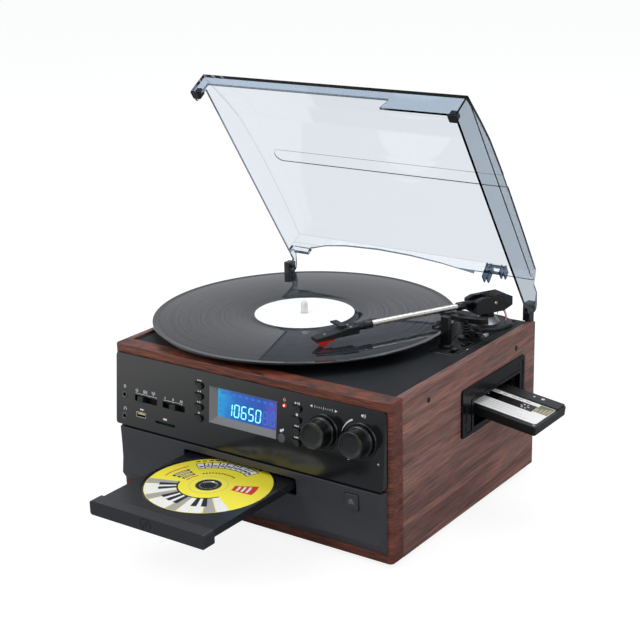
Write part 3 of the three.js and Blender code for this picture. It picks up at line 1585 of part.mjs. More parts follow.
function addLowerPanel() {
  const face = (depth, z) => [frontY - depth, z];
  const sideView = polygon([
    [frontY, lowerBottom],
    face(lowerFootDepth, lowerBottom),
    face(lowerFlareDepth, lowerFlareZ),
    face(lowerWaistDepth, lowerWaistBottom),
    face(lowerWaistDepth, lowerWaistTop),
    face(lowerTopDepth, lowerTop),
    [frontY, lowerTop],
  ]);
  const topView = polygon([
    [-lowerHalfWidth, frontY + overrun],
    [-lowerHalfWidth, frontY],
    [lowerEndSlant - lowerHalfWidth, frontY - lowerFlareDepth - sink],
    [lowerHalfWidth - lowerEndSlant, frontY - lowerFlareDepth - sink],
    [lowerHalfWidth, frontY],
    [lowerHalfWidth, frontY + overrun],
  ]);
  const body = prism('X', sideView, -lowerHalfWidth, lowerHalfWidth)
    .intersect(prism('Z', topView, lowerBottom - overrun, lowerTop + overrun));
  const pocket = block(
    lowerPocketInset - lowerHalfWidth, lowerHalfWidth - lowerPocketInset,
    frontY - lowerWaistDepth + panelWall, frontY + overrun,
    bottomRailHeight + pocketMargin, middleRailBottom - pocketMargin,
  );
  const slot = roundedRectangle(
    trayX - trayBarHalfWidth - runGap, trayX + trayBarHalfWidth + runGap,
    trayBarBottom - runGap, trayBarTop + slotHeadroom, trayBarCorner,
  );
  const ejectHole = roundedRectangle(
    ejectX - ejectWidth / 2 - runGap, ejectX + ejectWidth / 2 + runGap,
    ejectZ - ejectHeight / 2 - runGap, ejectZ + ejectHeight / 2 + runGap, ejectCorner,
  );
  const [fromY, toY] = [frontY - lowerFlareDepth - overrun, frontY + overrun];
  const panel = cutBy(body, pocket, prism('Y', slot, fromY, toY), prism('Y', ejectHole, fromY, toY));
  addNode(cabinet, 'lower_panel', panel, charcoalFinish);
}

function addEjectButton() {
  const [halfWidth, halfHeight] = [ejectWidth / 2, ejectHeight / 2];
  const outline = (growth) => roundedRectangle(
    ejectX - halfWidth - growth, ejectX + halfWidth + growth,
    ejectZ - halfHeight - growth, ejectZ + halfHeight + growth, ejectCorner,
  );
  const wallBack = frontY - lowerWaistDepth + panelWall + seatGap;
  const button = joined(
    prism('Y', outline(0), frontY - lowerTopDepth - ejectRise / 2, wallBack + sink),
    prism('Y', outline(buttonFlange), wallBack, wallBack + buttonFlangeThickness),
  );
  addNode(cabinet, 'eject_button', button, charcoalFinish);
}

// Compact disc drive

const discUnder = discTop - discThickness;

function addTray() {
  const bar = roundedRectangle(
    trayX - trayBarHalfWidth, trayX + trayBarHalfWidth, trayBarBottom, trayBarTop, trayBarCorner,
  );
  const plate = block(
    trayX - trayPlateHalfWidth, trayX + trayPlateHalfWidth,
    trayBackY - sink, trayPlateRearY, trayPlateTop - trayPlateThickness, trayPlateTop,
  );
  const wellFloor = discUnder - seatGap;
  const wellRadius = discRadius + wellClearance;
  const well = rod('Z', trayX, discCentreY, wellFloor, trayPlateTop + overrun, wellRadius, discSides);
  const frontSide = block(
    trayX - trayPlateHalfWidth, trayX + trayPlateHalfWidth, trayBackY + sink, trayPlateRearY + overrun,
    wellFloor - overrun, trayPlateTop + 2 * overrun,
  );
  const opening = block(
    trayX - trayWindowHalfWidth, trayX + trayWindowHalfWidth,
    discCentreY - trayWindowFront, discCentreY + discRadius - trayWindowFront,
    trayPlateTop - trayPlateThickness - overrun, trayPlateTop + overrun,
  );
  const blank = joined(prism('Y', bar, trayOutFrontY, trayBackY), plate);
  const tray = cutBy(blank, well.intersect(frontSide), opening);
  addNode(cabinet, 'cd_tray', tray, charcoalFinish);
}

function addDisc() {
  const profile = [
    [discHoleRadius, discUnder],
    [discRadius, discUnder],
    [discRadius, discTop],
    [discHoleRadius, discTop],
    [discHoleRadius, discUnder],
  ];
  const disc = turned('Z', profile, platterSides);
  addNode(cabinet, 'compact_disc', standing(disc, trayX, discCentreY), discFinish);
}

// The drive's box is open to the front, and stands on four legs on the cabinet's floor.
function addDrive() {
  const halfWidth = trayPlateHalfWidth + runGap + driveWall;
  const [left, right] = [trayX - halfWidth, trayX + halfWidth];
  const shapes = [block(left, right, driveFrontY, driveRearY, driveBottom, driveTop)];
  for (const x of [left, right - driveLegWidth]) {
    for (const y of [driveFrontY, driveRearY - driveLegWidth]) {
      shapes.push(block(x, x + driveLegWidth, y, y + driveLegWidth, bottomThickness, driveBottom + sink));
    }
  }
  const channelHalf = trayPlateHalfWidth + runGap;
  const channel = block(
    trayX - channelHalf, trayX + channelHalf, driveFrontY - overrun, driveRearY - driveWall,
    drivePlateFloor, trayBarTop + runGap,
  );
  addNode(cabinet, 'cd_drive', joined(...shapes).subtract(channel), charcoalFinish);
}

// Cassette side

function addBezel() {
  const [flangeX, sleeveX] = [cabinetRight + bezelRise, innerX + seatGap];
  const flange = roundedRectangle(bezelFrontY, bezelRearY, bezelBottom, bezelTop, bezelCorner);
  const sleeve = block(
    sleeveX, cabinetRight + sink, mouthFrontY - bezelWall, mouthRearY + bezelWall,
    mouthBottom - bezelWall, mouthTop + bezelWall,
  );
  const mouth = block(
    cabinetRight + bezelRise - mouthStepDepth, flangeX + overrun,
    mouthFrontY, mouthRearY, mouthBottom, mouthTop,
  );
  const throat = block(
    sleeveX - overrun, flangeX, mouthFrontY + mouthStep, mouthRearY - mouthStep,
    mouthBottom + mouthStep / 2, mouthTop - mouthStep / 2,
  );
  const bezel = cutBy(joined(prism('X', flange, cabinetRight, flangeX), sleeve), mouth, throat);
  addNode(cabinet, 'cassette_bezel', bezel, blackFinish);
}

// The cassette's frame: its outer end at X 0, its top at Z 0, sloping down outward.
const cassetteFrame = new THREE.Matrix4()
  .makeRotationY(THREE.MathUtils.degToRad(cassetteTiltDegrees))
  .setPosition(cassetteOutX, cassetteFrontY, cassetteOutTopZ);

function addCassette() {
  const outline = roundedRectangle(-cassetteLength, 0, 0, cassetteWidth, cassetteCorner);
  const edge = block(
    cassetteCorner - cassetteLength, -cassetteCorner,
    cassetteWidth - cassetteEdgeWidth, cassetteWidth,
    -cassetteThickness - cassetteEdgeRise, cassetteEdgeRise,
  );
  const hubs = [-1, 1].map((side) => rod(
    'Z', (side * cassetteHubSpacing - cassetteLength) / 2, cassetteHubY,
    -cassetteThickness - overrun, overrun, cassetteHubRadius, pinSides,
  ));
  const shell = joined(prism('Z', outline, -cassetteThickness, 0), edge);
  const holder = new THREE.Group();
  holder.applyMatrix4(cassetteFrame);
  cabinet.add(holder);
  addNode(holder, 'cassette', cutBy(shell, ...hubs), blackFinish);
}

function addCassetteDeck() {
  const chassis = block(chassisLeftX, innerX, chassisFrontY, chassisRearY, chassisBottom, chassisTop);
  const bay = moved(block(
    -cassetteLength - cassetteTravel - runGap, cassetteLength,
    -runGap, cassetteWidth + runGap,
    -cassetteThickness - cassetteEdgeRise - seatGap, cassetteEdgeRise + runGap,
  ), cassetteFrame);
  addNode(cabinet, 'cassette_deck', chassis.subtract(bay), charcoalFinish);
}

function addPowerSupply() {
  const rearY = backY - backThickness - seatGap;
  const box = block(
    supplyLeftX, supplyRightX, rearY - supplyDepth, rearY,
    bottomThickness, bottomThickness + supplyHeight,
  );
  const inlet = inletOpening(0, rearY - sink, backY);
  const bore = inletOpening(-inletWall, backY - inletBoreDepth, backY + overrun);
  addNode(cabinet, 'power_supply', joined(box, inlet).subtract(bore), charcoalFinish);
}

addFrontFrame();
addSidePanels();
addBackAndBottom();
addFeet();
addDeck();
addSpindle();
addPlatter();
addRecord();
addMotor();
addPulley();
addBelt();
addTonearmBase();
addPivotHousing();
addArmTube();
addHeadshell();
addStylus();
addArmRest();
addLiftPlatform();
addLiftSpring();
addLiftLever();
addDeckSwitch('speed_switch', speedSwitchY);
addDeckSwitch('auto_stop_switch', autoStopSwitchY - autoStopTravel / 2);
addDustCover();
addBumper('lid_bumper_left', -1);
addBumper('lid_bumper_right', 1);
addHinges();
addUpperPanel();
addButtons();
addDisplay();
addPowerLed();
addAudioJacks();
addUsbSocket();
addSlideSwitch('function_switch', functionKnobX);
addSlideSwitch('band_switch', bandKnobX);
addKnob('tuning_knob', tuningX);
addKnob('volume_knob', volumeX);
addMainBoard();
addLowerPanel();
addEjectButton();
addTray();
addDisc();
addDrive();
addBezel();
addCassette();
addCassetteDeck();
addPowerSupply();

// The origin goes to the middle of the whole object's footprint, at the feet's undersides.
cabinet.updateMatrixWorld(true);
const whole = new THREE.Box3().setFromObject(cabinet, true);
const middle = whole.getCenter(new THREE.Vector3());
cabinet.position.set(-middle.x, -middle.y, -whole.min.z);

export default recordPlayer;
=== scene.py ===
"""The looks of an all-in-one record player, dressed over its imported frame.

Shapes are written in the cabinet's millimetres: X to the right, Y to the back and Z up, with the origin
in the middle of the cabinet's underside. to_metres() and in_scene() bring them into the scene.
"""

import json
import math

import bmesh
import bpy
from mathutils import Matrix, Vector

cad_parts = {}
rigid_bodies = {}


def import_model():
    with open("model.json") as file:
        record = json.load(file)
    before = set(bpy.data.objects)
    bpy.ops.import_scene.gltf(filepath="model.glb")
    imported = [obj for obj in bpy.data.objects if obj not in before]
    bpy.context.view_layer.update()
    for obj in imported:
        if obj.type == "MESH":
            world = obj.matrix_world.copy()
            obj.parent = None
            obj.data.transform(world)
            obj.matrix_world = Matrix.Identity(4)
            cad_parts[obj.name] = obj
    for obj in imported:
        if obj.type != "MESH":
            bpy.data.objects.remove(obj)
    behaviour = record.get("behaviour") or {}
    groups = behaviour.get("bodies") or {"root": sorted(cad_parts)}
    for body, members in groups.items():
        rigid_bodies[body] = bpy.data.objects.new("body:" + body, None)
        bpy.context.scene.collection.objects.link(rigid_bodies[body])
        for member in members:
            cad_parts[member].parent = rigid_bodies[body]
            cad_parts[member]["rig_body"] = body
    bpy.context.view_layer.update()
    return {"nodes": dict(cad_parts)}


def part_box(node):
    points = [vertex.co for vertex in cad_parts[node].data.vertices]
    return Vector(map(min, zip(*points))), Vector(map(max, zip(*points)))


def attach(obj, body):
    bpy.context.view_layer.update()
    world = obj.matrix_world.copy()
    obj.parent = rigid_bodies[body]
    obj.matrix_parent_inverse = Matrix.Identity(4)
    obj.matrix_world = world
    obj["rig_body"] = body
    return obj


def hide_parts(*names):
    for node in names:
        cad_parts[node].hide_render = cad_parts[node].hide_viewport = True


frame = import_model()
NODES = frame["nodes"]

MM = 0.001
MICRON = 0.000001
HALF_WIDTH = 157.5
HALF_DEPTH = 133

front_low, front_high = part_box("front_frame")
ORIGIN = Vector(((front_low.x + front_high.x) / 2, front_low.y + HALF_DEPTH * MM, front_low.z))


# Frames of the pieces that lean, turn or slope, in the cabinet's millimetres

def shifted(x, y, z):
    return Matrix.Translation((x, y, z))


def rotated(degrees, axis):
    return Matrix.Rotation(math.radians(degrees), 4, axis)


FACE_TOP, FACE_BOTTOM = 143, 72
FACE_TOP_DEPTH, FACE_BOTTOM_DEPTH = 2, 8.8
FACE_SLOPE = (FACE_BOTTOM_DEPTH - FACE_TOP_DEPTH) / (FACE_TOP - FACE_BOTTOM)
FACE_LEAN = math.degrees(math.atan(FACE_SLOPE))
FACE_STRETCH = math.hypot(1, FACE_SLOPE)
FACE_MIDDLE = 107.5


def on_face(x, z):
    """On the leaning upper panel: -Y points out of the face."""
    depth = FACE_TOP_DEPTH + (FACE_TOP - z) * FACE_SLOPE
    return shifted(x, -HALF_DEPTH - depth, z) @ rotated(-FACE_LEAN, "X")


def up(z):
    """A height on the cabinet as a height along the leaning face, from its middle."""
    return (z - FACE_MIDDLE) * FACE_STRETCH


HINGE_Z = 165
LID_OPENING = 56.5

UPRIGHT = Matrix.Identity(4)
FACE = on_face(0, FACE_MIDDLE)
SPINDLE = shifted(-38, 15, 0)
PIVOT = shifted(118, 106, 0)
ARM = PIVOT @ rotated(-116, "Z")
LID = shifted(0, HALF_DEPTH, HINGE_Z) @ rotated(-LID_OPENING, "X") @ shifted(0, -HALF_DEPTH, -HINGE_Z)
DISC = shifted(-5, -183.5, 0)
CASSETTE = shifted(220, 13, 92.5) @ rotated(8, "Y")


# Materials

def srgb(digits):
    """A colour written as six hex digits, as the linear values that shaders take."""
    channels = [int(digits[i : i + 2], 16) / 255 for i in (0, 2, 4)]
    return [c / 12.92 if c <= 0.04045 else ((c + 0.055) / 1.055) ** 2.4 for c in channels] + [1]


def shade(digits, share):
    """A colour with its light multiplied."""
    return [min(1, c * share) for c in srgb(digits)[:3]] + [1]


class Nodes:
    """Short ways to add nodes to a tree."""

    def __init__(self, tree):
        self.tree = tree

    def node(self, kind, inputs=(), output=0, **settings):
        made = self.tree.nodes.new("ShaderNode" + kind)
        for key, value in settings.items():
            setattr(made, key, value)
        for key, value in dict(inputs).items():
            self.feed(made.inputs[key], value)
        return made.outputs[output]

    def feed(self, socket, value):
        if isinstance(value, bpy.types.NodeSocket):
            self.tree.links.new(value, socket)
        else:
            socket.default_value = value

    def light_path(self, *names):
        outputs = self.node("LightPath").node.outputs
        return [outputs[name] for name in names]

    def sum(self, operation, first, second):
        return self.node("Math", {0: first, 1: second}, operation=operation)

    def span(self, value, low, high, to_low, to_high):
        inputs = {"Value": value, "From Min": low, "From Max": high, "To Min": to_low, "To Max": to_high}
        return self.node("MapRange", inputs)


class Paint(Nodes):
    """A Principled material, and the nodes that colour it."""

    def __init__(self, name, **values):
        self.material = bpy.data.materials.new(name)
        self.material.use_nodes = True
        super().__init__(self.material.node_tree)
        self.shader = self.tree.nodes["Principled BSDF"]
        self.use(**values)

    def use(self, **values):
        """Feeds the shader's own sockets, named with _ for a space."""
        for key, value in values.items():
            self.feed(self.shader.inputs[key.replace("_", " ")], value)
        return self.material

    def overlay(self, share, shader):
        """Mixes another shader over the surface."""
        both = self.node("MixShader", {0: share, 1: self.shader.outputs[0], 2: shader})
        self.feed(self.tree.nodes["Material Output"].inputs["Surface"], both)
        return self.material

    def spot(self, scale=(1, 1, 1), turn=(0, 0, 0)):
        """The piece's own coordinates in metres, turned and then stretched."""
        here = self.node("TexCoord", output="Object")
        turned = self.node("Mapping", {"Vector": here, "Rotation": turn})
        return self.node("Mapping", {"Vector": turned, "Scale": scale})

    def radius(self, spot):
        """How far a point lies from the piece's own Z axis."""
        flat = self.node("VectorMath", {0: spot, 1: (1, 1, 0)}, operation="MULTIPLY")
        return self.node("VectorMath", {0: flat}, output="Value", operation="LENGTH")

    def noise(self, spot, scale, detail=3, distortion=0):
        inputs = {"Vector": spot, "Scale": scale, "Detail": detail, "Distortion": distortion}
        return self.node("TexNoise", inputs)

    def bands(self, along, scale, detail):
        """Noise that changes with one value only."""
        inputs = {"W": along, "Scale": scale, "Detail": detail}
        return self.node("TexNoise", inputs, noise_dimensions="1D")

    def mix(self, share, first, second, kind="MIX"):
        inputs = {0: share, 6: first, 7: second}
        return self.node("Mix", inputs, 2, data_type="RGBA", blend_type=kind)

    def ramp(self, value, *stops):
        """Colours between stops, each a place and six hex digits."""
        made = self.tree.nodes.new("ShaderNodeValToRGB")
        self.feed(made.inputs[0], value)
        elements = made.color_ramp.elements
        while len(elements) < len(stops):
            elements.new(0.5)
        for element, (position, digits) in zip(elements, stops):
            element.position = position
            element.color = srgb(digits)
        return made.outputs[0]

    def bump(self, height, microns):
        return self.node("Bump", {"Height": height, "Distance": microns * MICRON, "Strength": 1})


# Where most of a noise texture's values lie
NOISE = (0.3, 0.7)
# The smooth part of the record round its label, as radii in metres
RUN_OUT = (0.054, 0.064)


# The default colours, which only the side panels take, are greyed and lightened to paint the sheen that the
# sides show.
def wood(name, stretch, turn=(0, 0, 0), light="8a655d", dark="685650", streak="a76a5a"):
    """Printed wood-grain foil: long streaks, fine dark pores and a satin coat."""
    paint = Paint(name, Coat_Weight=0.06, Coat_Roughness=0.3, Specular_IOR_Level=0.35)
    spot = paint.spot(stretch, turn)
    fine = paint.noise(spot, 1400, 3, 0.4)
    tone = paint.ramp(paint.noise(spot, 950, 4, 0.5), (0.36, dark), (0.5, light), (0.64, streak))
    pores = paint.ramp(fine, (0.38, "35201d"), (0.54, "ffffff"))
    patches = paint.ramp(paint.noise(spot, 42, 3, 2.2), (0.4, "c8c4c4"), (0.58, "ffffff"))
    tone = paint.mix(0.42, tone, pores, "MULTIPLY")
    return paint.use(
        Base_Color=paint.mix(1.0, tone, patches, "MULTIPLY"),
        Roughness=paint.span(fine, *NOISE, 0.4, 0.52),
        Normal=paint.bump(fine, 30),
    )


def plastic(name, color, roughness, grain=20, grain_scale=2600, coat=0.0, tint=0.06, **sockets):
    """Moulded plastic: a fine grain in microns, with slow changes of tone and of gloss."""
    paint = Paint(name, Coat_Weight=coat, Coat_Roughness=0.08, **sockets)
    spot = paint.spot()
    slow = paint.noise(spot, 14)
    return paint.use(
        Base_Color=paint.mix(slow, shade(color, 1 - 2 * tint), shade(color, 1 + 2 * tint)),
        Roughness=paint.span(slow, *NOISE, roughness - 0.03, roughness + 0.04),
        Normal=paint.bump(paint.noise(spot, grain_scale, 2), grain),
    )


def ink(name, color, roughness=0.4, tint=0.06):
    return plastic(name + "_ink", color, roughness, 10, 3000, tint=tint)


def metal(name, color, roughness, stretch=(1, 1, 1)):
    """Bare or plated metal, brushed along the axis whose stretch is small."""
    paint = Paint(name, Metallic=1.0)
    lines = paint.noise(paint.spot(stretch), 900, 2)
    tone = paint.noise(paint.spot(), 60, 2)
    return paint.use(
        Base_Color=paint.mix(tone, shade(color, 0.82), srgb(color)),
        Roughness=paint.span(lines, *NOISE, roughness * 0.8, roughness * 1.25),
        Normal=paint.bump(lines, 12),
    )


def vinyl():
    """A pressed record: bands of grooves between smooth gaps, round the piece's own axis."""
    paint = Paint("record_vinyl", Specular_IOR_Level=0.5)
    spot = paint.spot()
    radius = paint.radius(spot)
    grooves = paint.node("Math", {0: paint.sum("MULTIPLY", radius, 6500)}, operation="SINE")
    gloss = paint.span(paint.bands(radius, 130, 1), 0.35, 0.65, 0.008, 0.02)
    smudges = paint.span(paint.noise(spot, 22, 4, 0.8), 0.35, 0.7, 0, 0.02)
    dust = paint.ramp(paint.noise(spot, 1500, 1), (0.77, "141416"), (0.82, "4a4a4c"))
    # Painted sheen: the grey bands, which spread at random over the grooved area, stand for light scattered
    # by the grooves; the smooth ring round the label is left near black.
    tone = paint.ramp(paint.bands(radius, 420, 3), (0.36, "111214"), (0.64, "36373b"))
    tone = paint.mix(paint.span(radius, *RUN_OUT, 0, 1), srgb("08090a"), tone)
    return paint.use(
        Base_Color=paint.mix(0.35, tone, dust, "LIGHTEN"),
        Roughness=paint.sum("ADD", gloss, smudges),
        Normal=paint.bump(grooves, 0.3),
    )


def clear(name, color, roughness=0.03):
    """Clear tinted acrylic, which lets most of the light through to what is under it."""
    paint = Paint(name, Transmission_Weight=1.0, IOR=1.25, Specular_IOR_Level=0.5)
    haze = paint.noise(paint.spot(), 9)
    paint.use(
        Base_Color=srgb(color),
        Roughness=paint.span(haze, *NOISE, roughness * 0.6, roughness * 1.5),
    )
    through = paint.node("BsdfTransparent", {"Color": srgb(color)})
    return paint.overlay(*paint.light_path("Is Shadow Ray"), through)


def glowing(name, color, strength):
    paint = Paint(name, Emission_Strength=strength, Roughness=0.3)
    tone = paint.mix(paint.noise(paint.spot(), 300, 1), shade(color, 0.85), srgb(color))
    return paint.use(Base_Color=tone, Emission_Color=tone)


def screen():
    """A lit screen that runs from cyan at its left to violet at its right."""
    paint = Paint("lcd_screen", Emission_Strength=0.42, Roughness=0.12)
    side = paint.node("SeparateXYZ", {0: paint.spot()})
    haze = paint.span(paint.noise(paint.spot(), 60, 2), *NOISE, -0.05, 0.05)
    place = paint.sum("ADD", paint.span(side, -0.03, 0.039, 0, 1), haze)
    tone = paint.ramp(place, (0.0, "168cc4"), (0.28, "145cac"), (0.7, "1d479e"), (1.0, "5147a4"))
    return paint.use(Base_Color=tone, Emission_Color=tone)


FRAME_WOOD = wood("frame_wood", (0.06, 0.12, 1), light="73402f", dark="48302a", streak="8a4430")
# Painted sheen: the default, greyer wood colours stand for the sides' sheen.
SIDE_WOOD_AND_SHEEN = wood("side_wood_and_painted_sheen", (1, 0.03, 1), turn=(math.radians(-2), 0, 0))
BOARD_WOOD = wood("back_wood", (0.06, 1, 1), light="6d4436", dark="4a2e26", streak="7d4c3a")
DECK = plastic("deck_plastic", "131417", 0.5, 15, 2400, Specular_IOR_Level=0.25)
BLACK = plastic("black_plastic", "0a0b0c", 0.26, 10, 2400, coat=0.1)
PANEL = plastic("panel_plastic", "0e0f11", 0.13, 2, 2400, coat=0.35)
SATIN = plastic("satin_plastic", "111214", 0.42, 20, 2200)
CHARCOAL = plastic("charcoal_plastic", "303135", 0.36, 10, 2200)
RUBBER = plastic("rubber", "0c0c0c", 0.75, 50, 1500)
VINYL = vinyl()
PAPER = plastic("label_paper", "f4f3f1", 0.6, 20, 1200, tint=0.01)
PALE = plastic(
    "pale_plastic", "d9d4cc", 0.25, Subsurface_Weight=0.3, Subsurface_Radius=(0.004, 0.003, 0.002)
)
RED = plastic(
    "red_plastic", "c8190f", 0.22, Subsurface_Weight=0.2, Subsurface_Radius=(0.004, 0.001, 0.001)
)
BOARD = plastic("circuit_board", "1d5a34", 0.5, 60, 900)
SURROUND = plastic("grey_plastic", "6d6f73", 0.4)
KNOB = plastic("knob_plastic", "08090a", 0.27, 1, 2400, coat=0.15)
TRAY = plastic("tray_plastic", "1b1c1f", 0.25, 2, 2200, Specular_IOR_Level=0.4)
TRAY_BAR = plastic("tray_bar_plastic", "222327", 0.42, 20, 2200)
BEZEL = plastic("bezel_plastic", "0a0b0c", 0.2, 0.4, 2400, Specular_IOR_Level=0.22)
TAPE_SHELL = plastic("tape_shell", "0c0d0e", 0.35, 20, 2200)
TAPE_WINDOW = plastic("tape_window", "0b0b0d", 0.12)
WINDOW = plastic("window_plastic", "4c4d51", 0.25)
RIM = plastic("rim_plastic", "4a4b4f", 0.3)
GREY_MARK = plastic("grey_mark", "5c5e62", 0.5)
DISC_YELLOW = plastic("disc_yellow", "fff040", 0.3, 4, 3000, coat=0.1, tint=0.01)
DISC_WHITE = plastic("disc_white", "f0f0ee", 0.35, 4, 3000, tint=0.01)
WHITE_INK = ink("white", "dadcdc", 0.5, tint=0.02)
PINK_INK = ink("pink", "e3b4b4", 0.5, tint=0.02)
RED_INK = ink("red", "d5321f")
BLACK_INK = ink("black", "17171a")
GREY_INK = ink("grey", "a9a6a2")
OLIVE_INK = ink("olive", "6f7560")
SAND_INK = ink("sand", "b9a987")
STEEL = metal("steel", "b4b7bb", 0.3)
DARK_STEEL = metal("dark_steel", "3a3b3e", 0.35)
SATIN_METAL = metal("satin_metal", "a2a4a7", 0.38)
CHROME = metal("arm_chrome", "f6f1e6", 0.26, (1, 0.02, 1))
BRASS = metal("brass", "e2cf9c", 0.25)
DISC_SILVER = metal("disc_silver", "d8d4c6", 0.25)
COVER = clear("clear_cover", "e6ecf2")
# The wall, front and edge colours are painted shade: the same acrylic drawn darker where its right wall,
# front and cut edges look dark.
COVER_WALL_SHADE = clear("clear_wall_painted_shade", "bac3cb")
COVER_FRONT_SHADE = clear("clear_front_painted_shade", "c8d5e3")
COVER_EDGE_SHADE = clear("clear_edge_painted_shade", "3a4858")
# Painted shade: the clear ribs drawn in dark navy.
RIBS_SHADE = clear("clear_rib_painted_shade", "4c5f76")
LED = glowing("power_led", "ff2414", 1.6)
LED_CORE = glowing("power_led_core", "ffd9c8", 3)
LIT = glowing("lit_strokes", "7df0f8", 1.05)
DIM = glowing("faint_strokes", "2a62c0", 0.5)
SCREEN = screen()


# Outlines, in millimetres

def circle(x, y, radius, steps):
    turns = [2 * math.pi * step / steps for step in range(steps)]
    return [(x + radius * math.cos(turn), y + radius * math.sin(turn)) for turn in turns]


def arc(x, y, radius, start, end, steps=24):
    """Points along part of a circle, between two angles in degrees."""
    turns = [math.radians(start + (end - start) * step / steps) for step in range(steps + 1)]
    return [(x + radius * math.cos(turn), y + radius * math.sin(turn)) for turn in turns]


def rounded(left, right, bottom, top, radius, steps=6):
    """A rectangle with round corners."""
    points = []
    for x, y, start in (
        (right - radius, bottom + radius, -90),
        (right - radius, top - radius, 0),
        (left + radius, top - radius, 90),
        (left + radius, bottom + radius, 180),
    ):
        points += arc(x, y, radius, start, start + 90, steps)
    return points


def rectangle(half_width, half_height, dx=0.0, dy=0.0):
    return [(dx + a * half_width, dy + b * half_height) for a, b in ((-1, -1), (1, -1), (1, 1), (-1, 1))]


def triangle(side, width=1.1, height=1.2):
    return [(-side * width, -height), (side * width, 0), (-side * width, height)]


# Mesh building, in millimetres

def new():
    return bmesh.new()


def corners(bm, axis, pairs, along):
    """Corners at one place along an axis. The pairs are the other two axes, in the order X, Y, Z."""
    at = "XYZ".index(axis)
    return [bm.verts.new((*pair[:at], along, *pair[at:])) for pair in pairs]


def skin(bm, rings, closed=True):
    """Faces from each ring of corners to the next, where a ring may be a single corner."""
    pairs = list(zip(rings, rings[1:]))
    if closed:
        pairs.append((rings[-1], rings[0]))
    for first, second in pairs:
        for i in range(max(len(first), len(second))):
            path = ((first, i), (first, i + 1), (second, i + 1), (second, i))
            distinct = list(dict.fromkeys(around[place % len(around)] for around, place in path))
            if len(distinct) > 2:
                bm.faces.new(distinct)


def extrude(bm, points, axis, low, high):
    """A prism along an axis."""
    ends = [corners(bm, axis, points, along) for along in (low, high)]
    for end in ends:
        bm.faces.new(end)
    skin(bm, ends, closed=False)


def block(bm, x0, x1, y0, y1, z0, z1):
    extrude(bm, [(x0, y0), (x1, y0), (x1, y1), (x0, y1)], "Z", z0, z1)


def blocks(*limits):
    """A mesh of blocks, each given by its limits along X, Y and Z."""
    bm = new()
    for limit in limits:
        block(bm, *limit)
    return bm


def loops(bm, axis, *outlines):
    """A closed skin through outlines across an axis, each with its place along it."""
    skin(bm, [corners(bm, axis, points, along) for points, along in outlines])


def lathe(bm, profile, axis="Z", centre=(0, 0), steps=96):
    """Turns pairs of radius and place along an axis into a closed skin."""
    rings = []
    for radius, along in profile:
        around = circle(*centre, radius, steps) if radius else [centre]
        rings.append(corners(bm, axis, around, along))
    skin(bm, rings, profile[0][0] > 0 and profile[-1][0] > 0)


def turned(*shape, **settings):
    """A mesh with one turned shape in it."""
    bm = new()
    lathe(bm, *shape, **settings)
    return bm


def disc(bm, x, y, radius, low, high, axis="Z", steps=24):
    """A plain disc or rod, from low to high along an axis."""
    lathe(bm, [(0, low), (radius, low), (radius, high), (0, high)], axis, (x, y), steps)


def ring(bm, x, y, inner, outer, axis, low, high, start=0, end=360):
    """A flat ring, or part of one, in pieces of half a turn at most."""
    count = math.ceil((end - start) / 180)
    for i in range(count):
        first = start + (end - start) * i / count
        last = start + (end - start) * (i + 1) / count
        points = arc(x, y, outer, first, last) + arc(x, y, inner, last, first)
        extrude(bm, points, axis, low, high)


def tube(bm, points, radius, closed=False):
    """A round wire through points, with flat ends unless it is closed."""
    sides = 10
    points = [Vector(point) for point in points]
    count = len(points)
    rings = []
    out = None
    for i, point in enumerate(points):
        before = points[i - 1] if i or closed else point
        after = points[(i + 1) % count] if i < count - 1 or closed else point
        along = (after - before).normalized()
        if out is None:
            out = along.orthogonal().normalized()
        out = (out - along * out.dot(along)).normalized()
        other = along.cross(out)
        rings.append([bm.verts.new(point + a * out + b * other) for a, b in circle(0, 0, radius, sides)])
    if not closed:
        bm.faces.new(rings[0])
        bm.faces.new(rings[-1])
    skin(bm, rings, closed)


def merge(bm, other):
    mesh = to_mesh("part", other)
    bm.from_mesh(mesh)
    bpy.data.meshes.remove(mesh)


# Pieces

def to_mesh(name, bm):
    mesh = bpy.data.meshes.new(name)
    bm.to_mesh(mesh)
    bm.free()
    return mesh


def add_object(name, data):
    made = bpy.data.objects.new(name, data)
    bpy.context.scene.collection.objects.link(made)
    return made


def in_scene(at):
    """A frame in the cabinet's millimetres as a place and a turn in the scene."""
    return Matrix.Translation(ORIGIN + MM * at.to_translation()) @ at.to_3x3().to_4x4()


def to_metres(bm):
    """Turns the faces outwards and the millimetres into metres."""
    bmesh.ops.recalc_face_normals(bm, faces=bm.faces)
    bmesh.ops.scale(bm, vec=(MM, MM, MM), verts=bm.verts)


def soften(piece, width, segments, angle, edge_material=-1, smooth=True):
    """Rounded edges, with flat faces that stay flat."""
    if width:
        bevel = piece.modifiers.new("edges", "BEVEL")
        bevel.width = width * MM
        bevel.segments = segments
        bevel.limit_method = "ANGLE"
        bevel.angle_limit = math.radians(angle)
        bevel.miter_outer = "MITER_ARC"
        bevel.use_clamp_overlap = True
        bevel.material = edge_material
    for polygon in piece.data.polygons:
        polygon.use_smooth = smooth
    if width and smooth:
        weighted = piece.modifiers.new("shading", "WEIGHTED_NORMAL")
        weighted.keep_sharp = True
    elif smooth:
        piece.data.set_sharp_from_angle(angle=math.radians(angle))


def carve(piece, bm):
    """Cuts a closed shape, in the cabinet's millimetres, out of a piece."""
    to_metres(bm)
    bmesh.ops.translate(bm, vec=ORIGIN, verts=bm.verts)
    cutter = add_object("cutter", to_mesh("cutter", bm))
    cut = piece.modifiers.new("cut", "BOOLEAN")
    cut.operation = "DIFFERENCE"
    cut.solver = "EXACT"
    cut.object = cutter
    bpy.context.view_layer.update()
    shown = piece.evaluated_get(bpy.context.evaluated_depsgraph_get())
    carved = bpy.data.meshes.new_from_object(shown)
    piece.modifiers.remove(cut)
    piece.data = carved
    bpy.data.objects.remove(cutter)


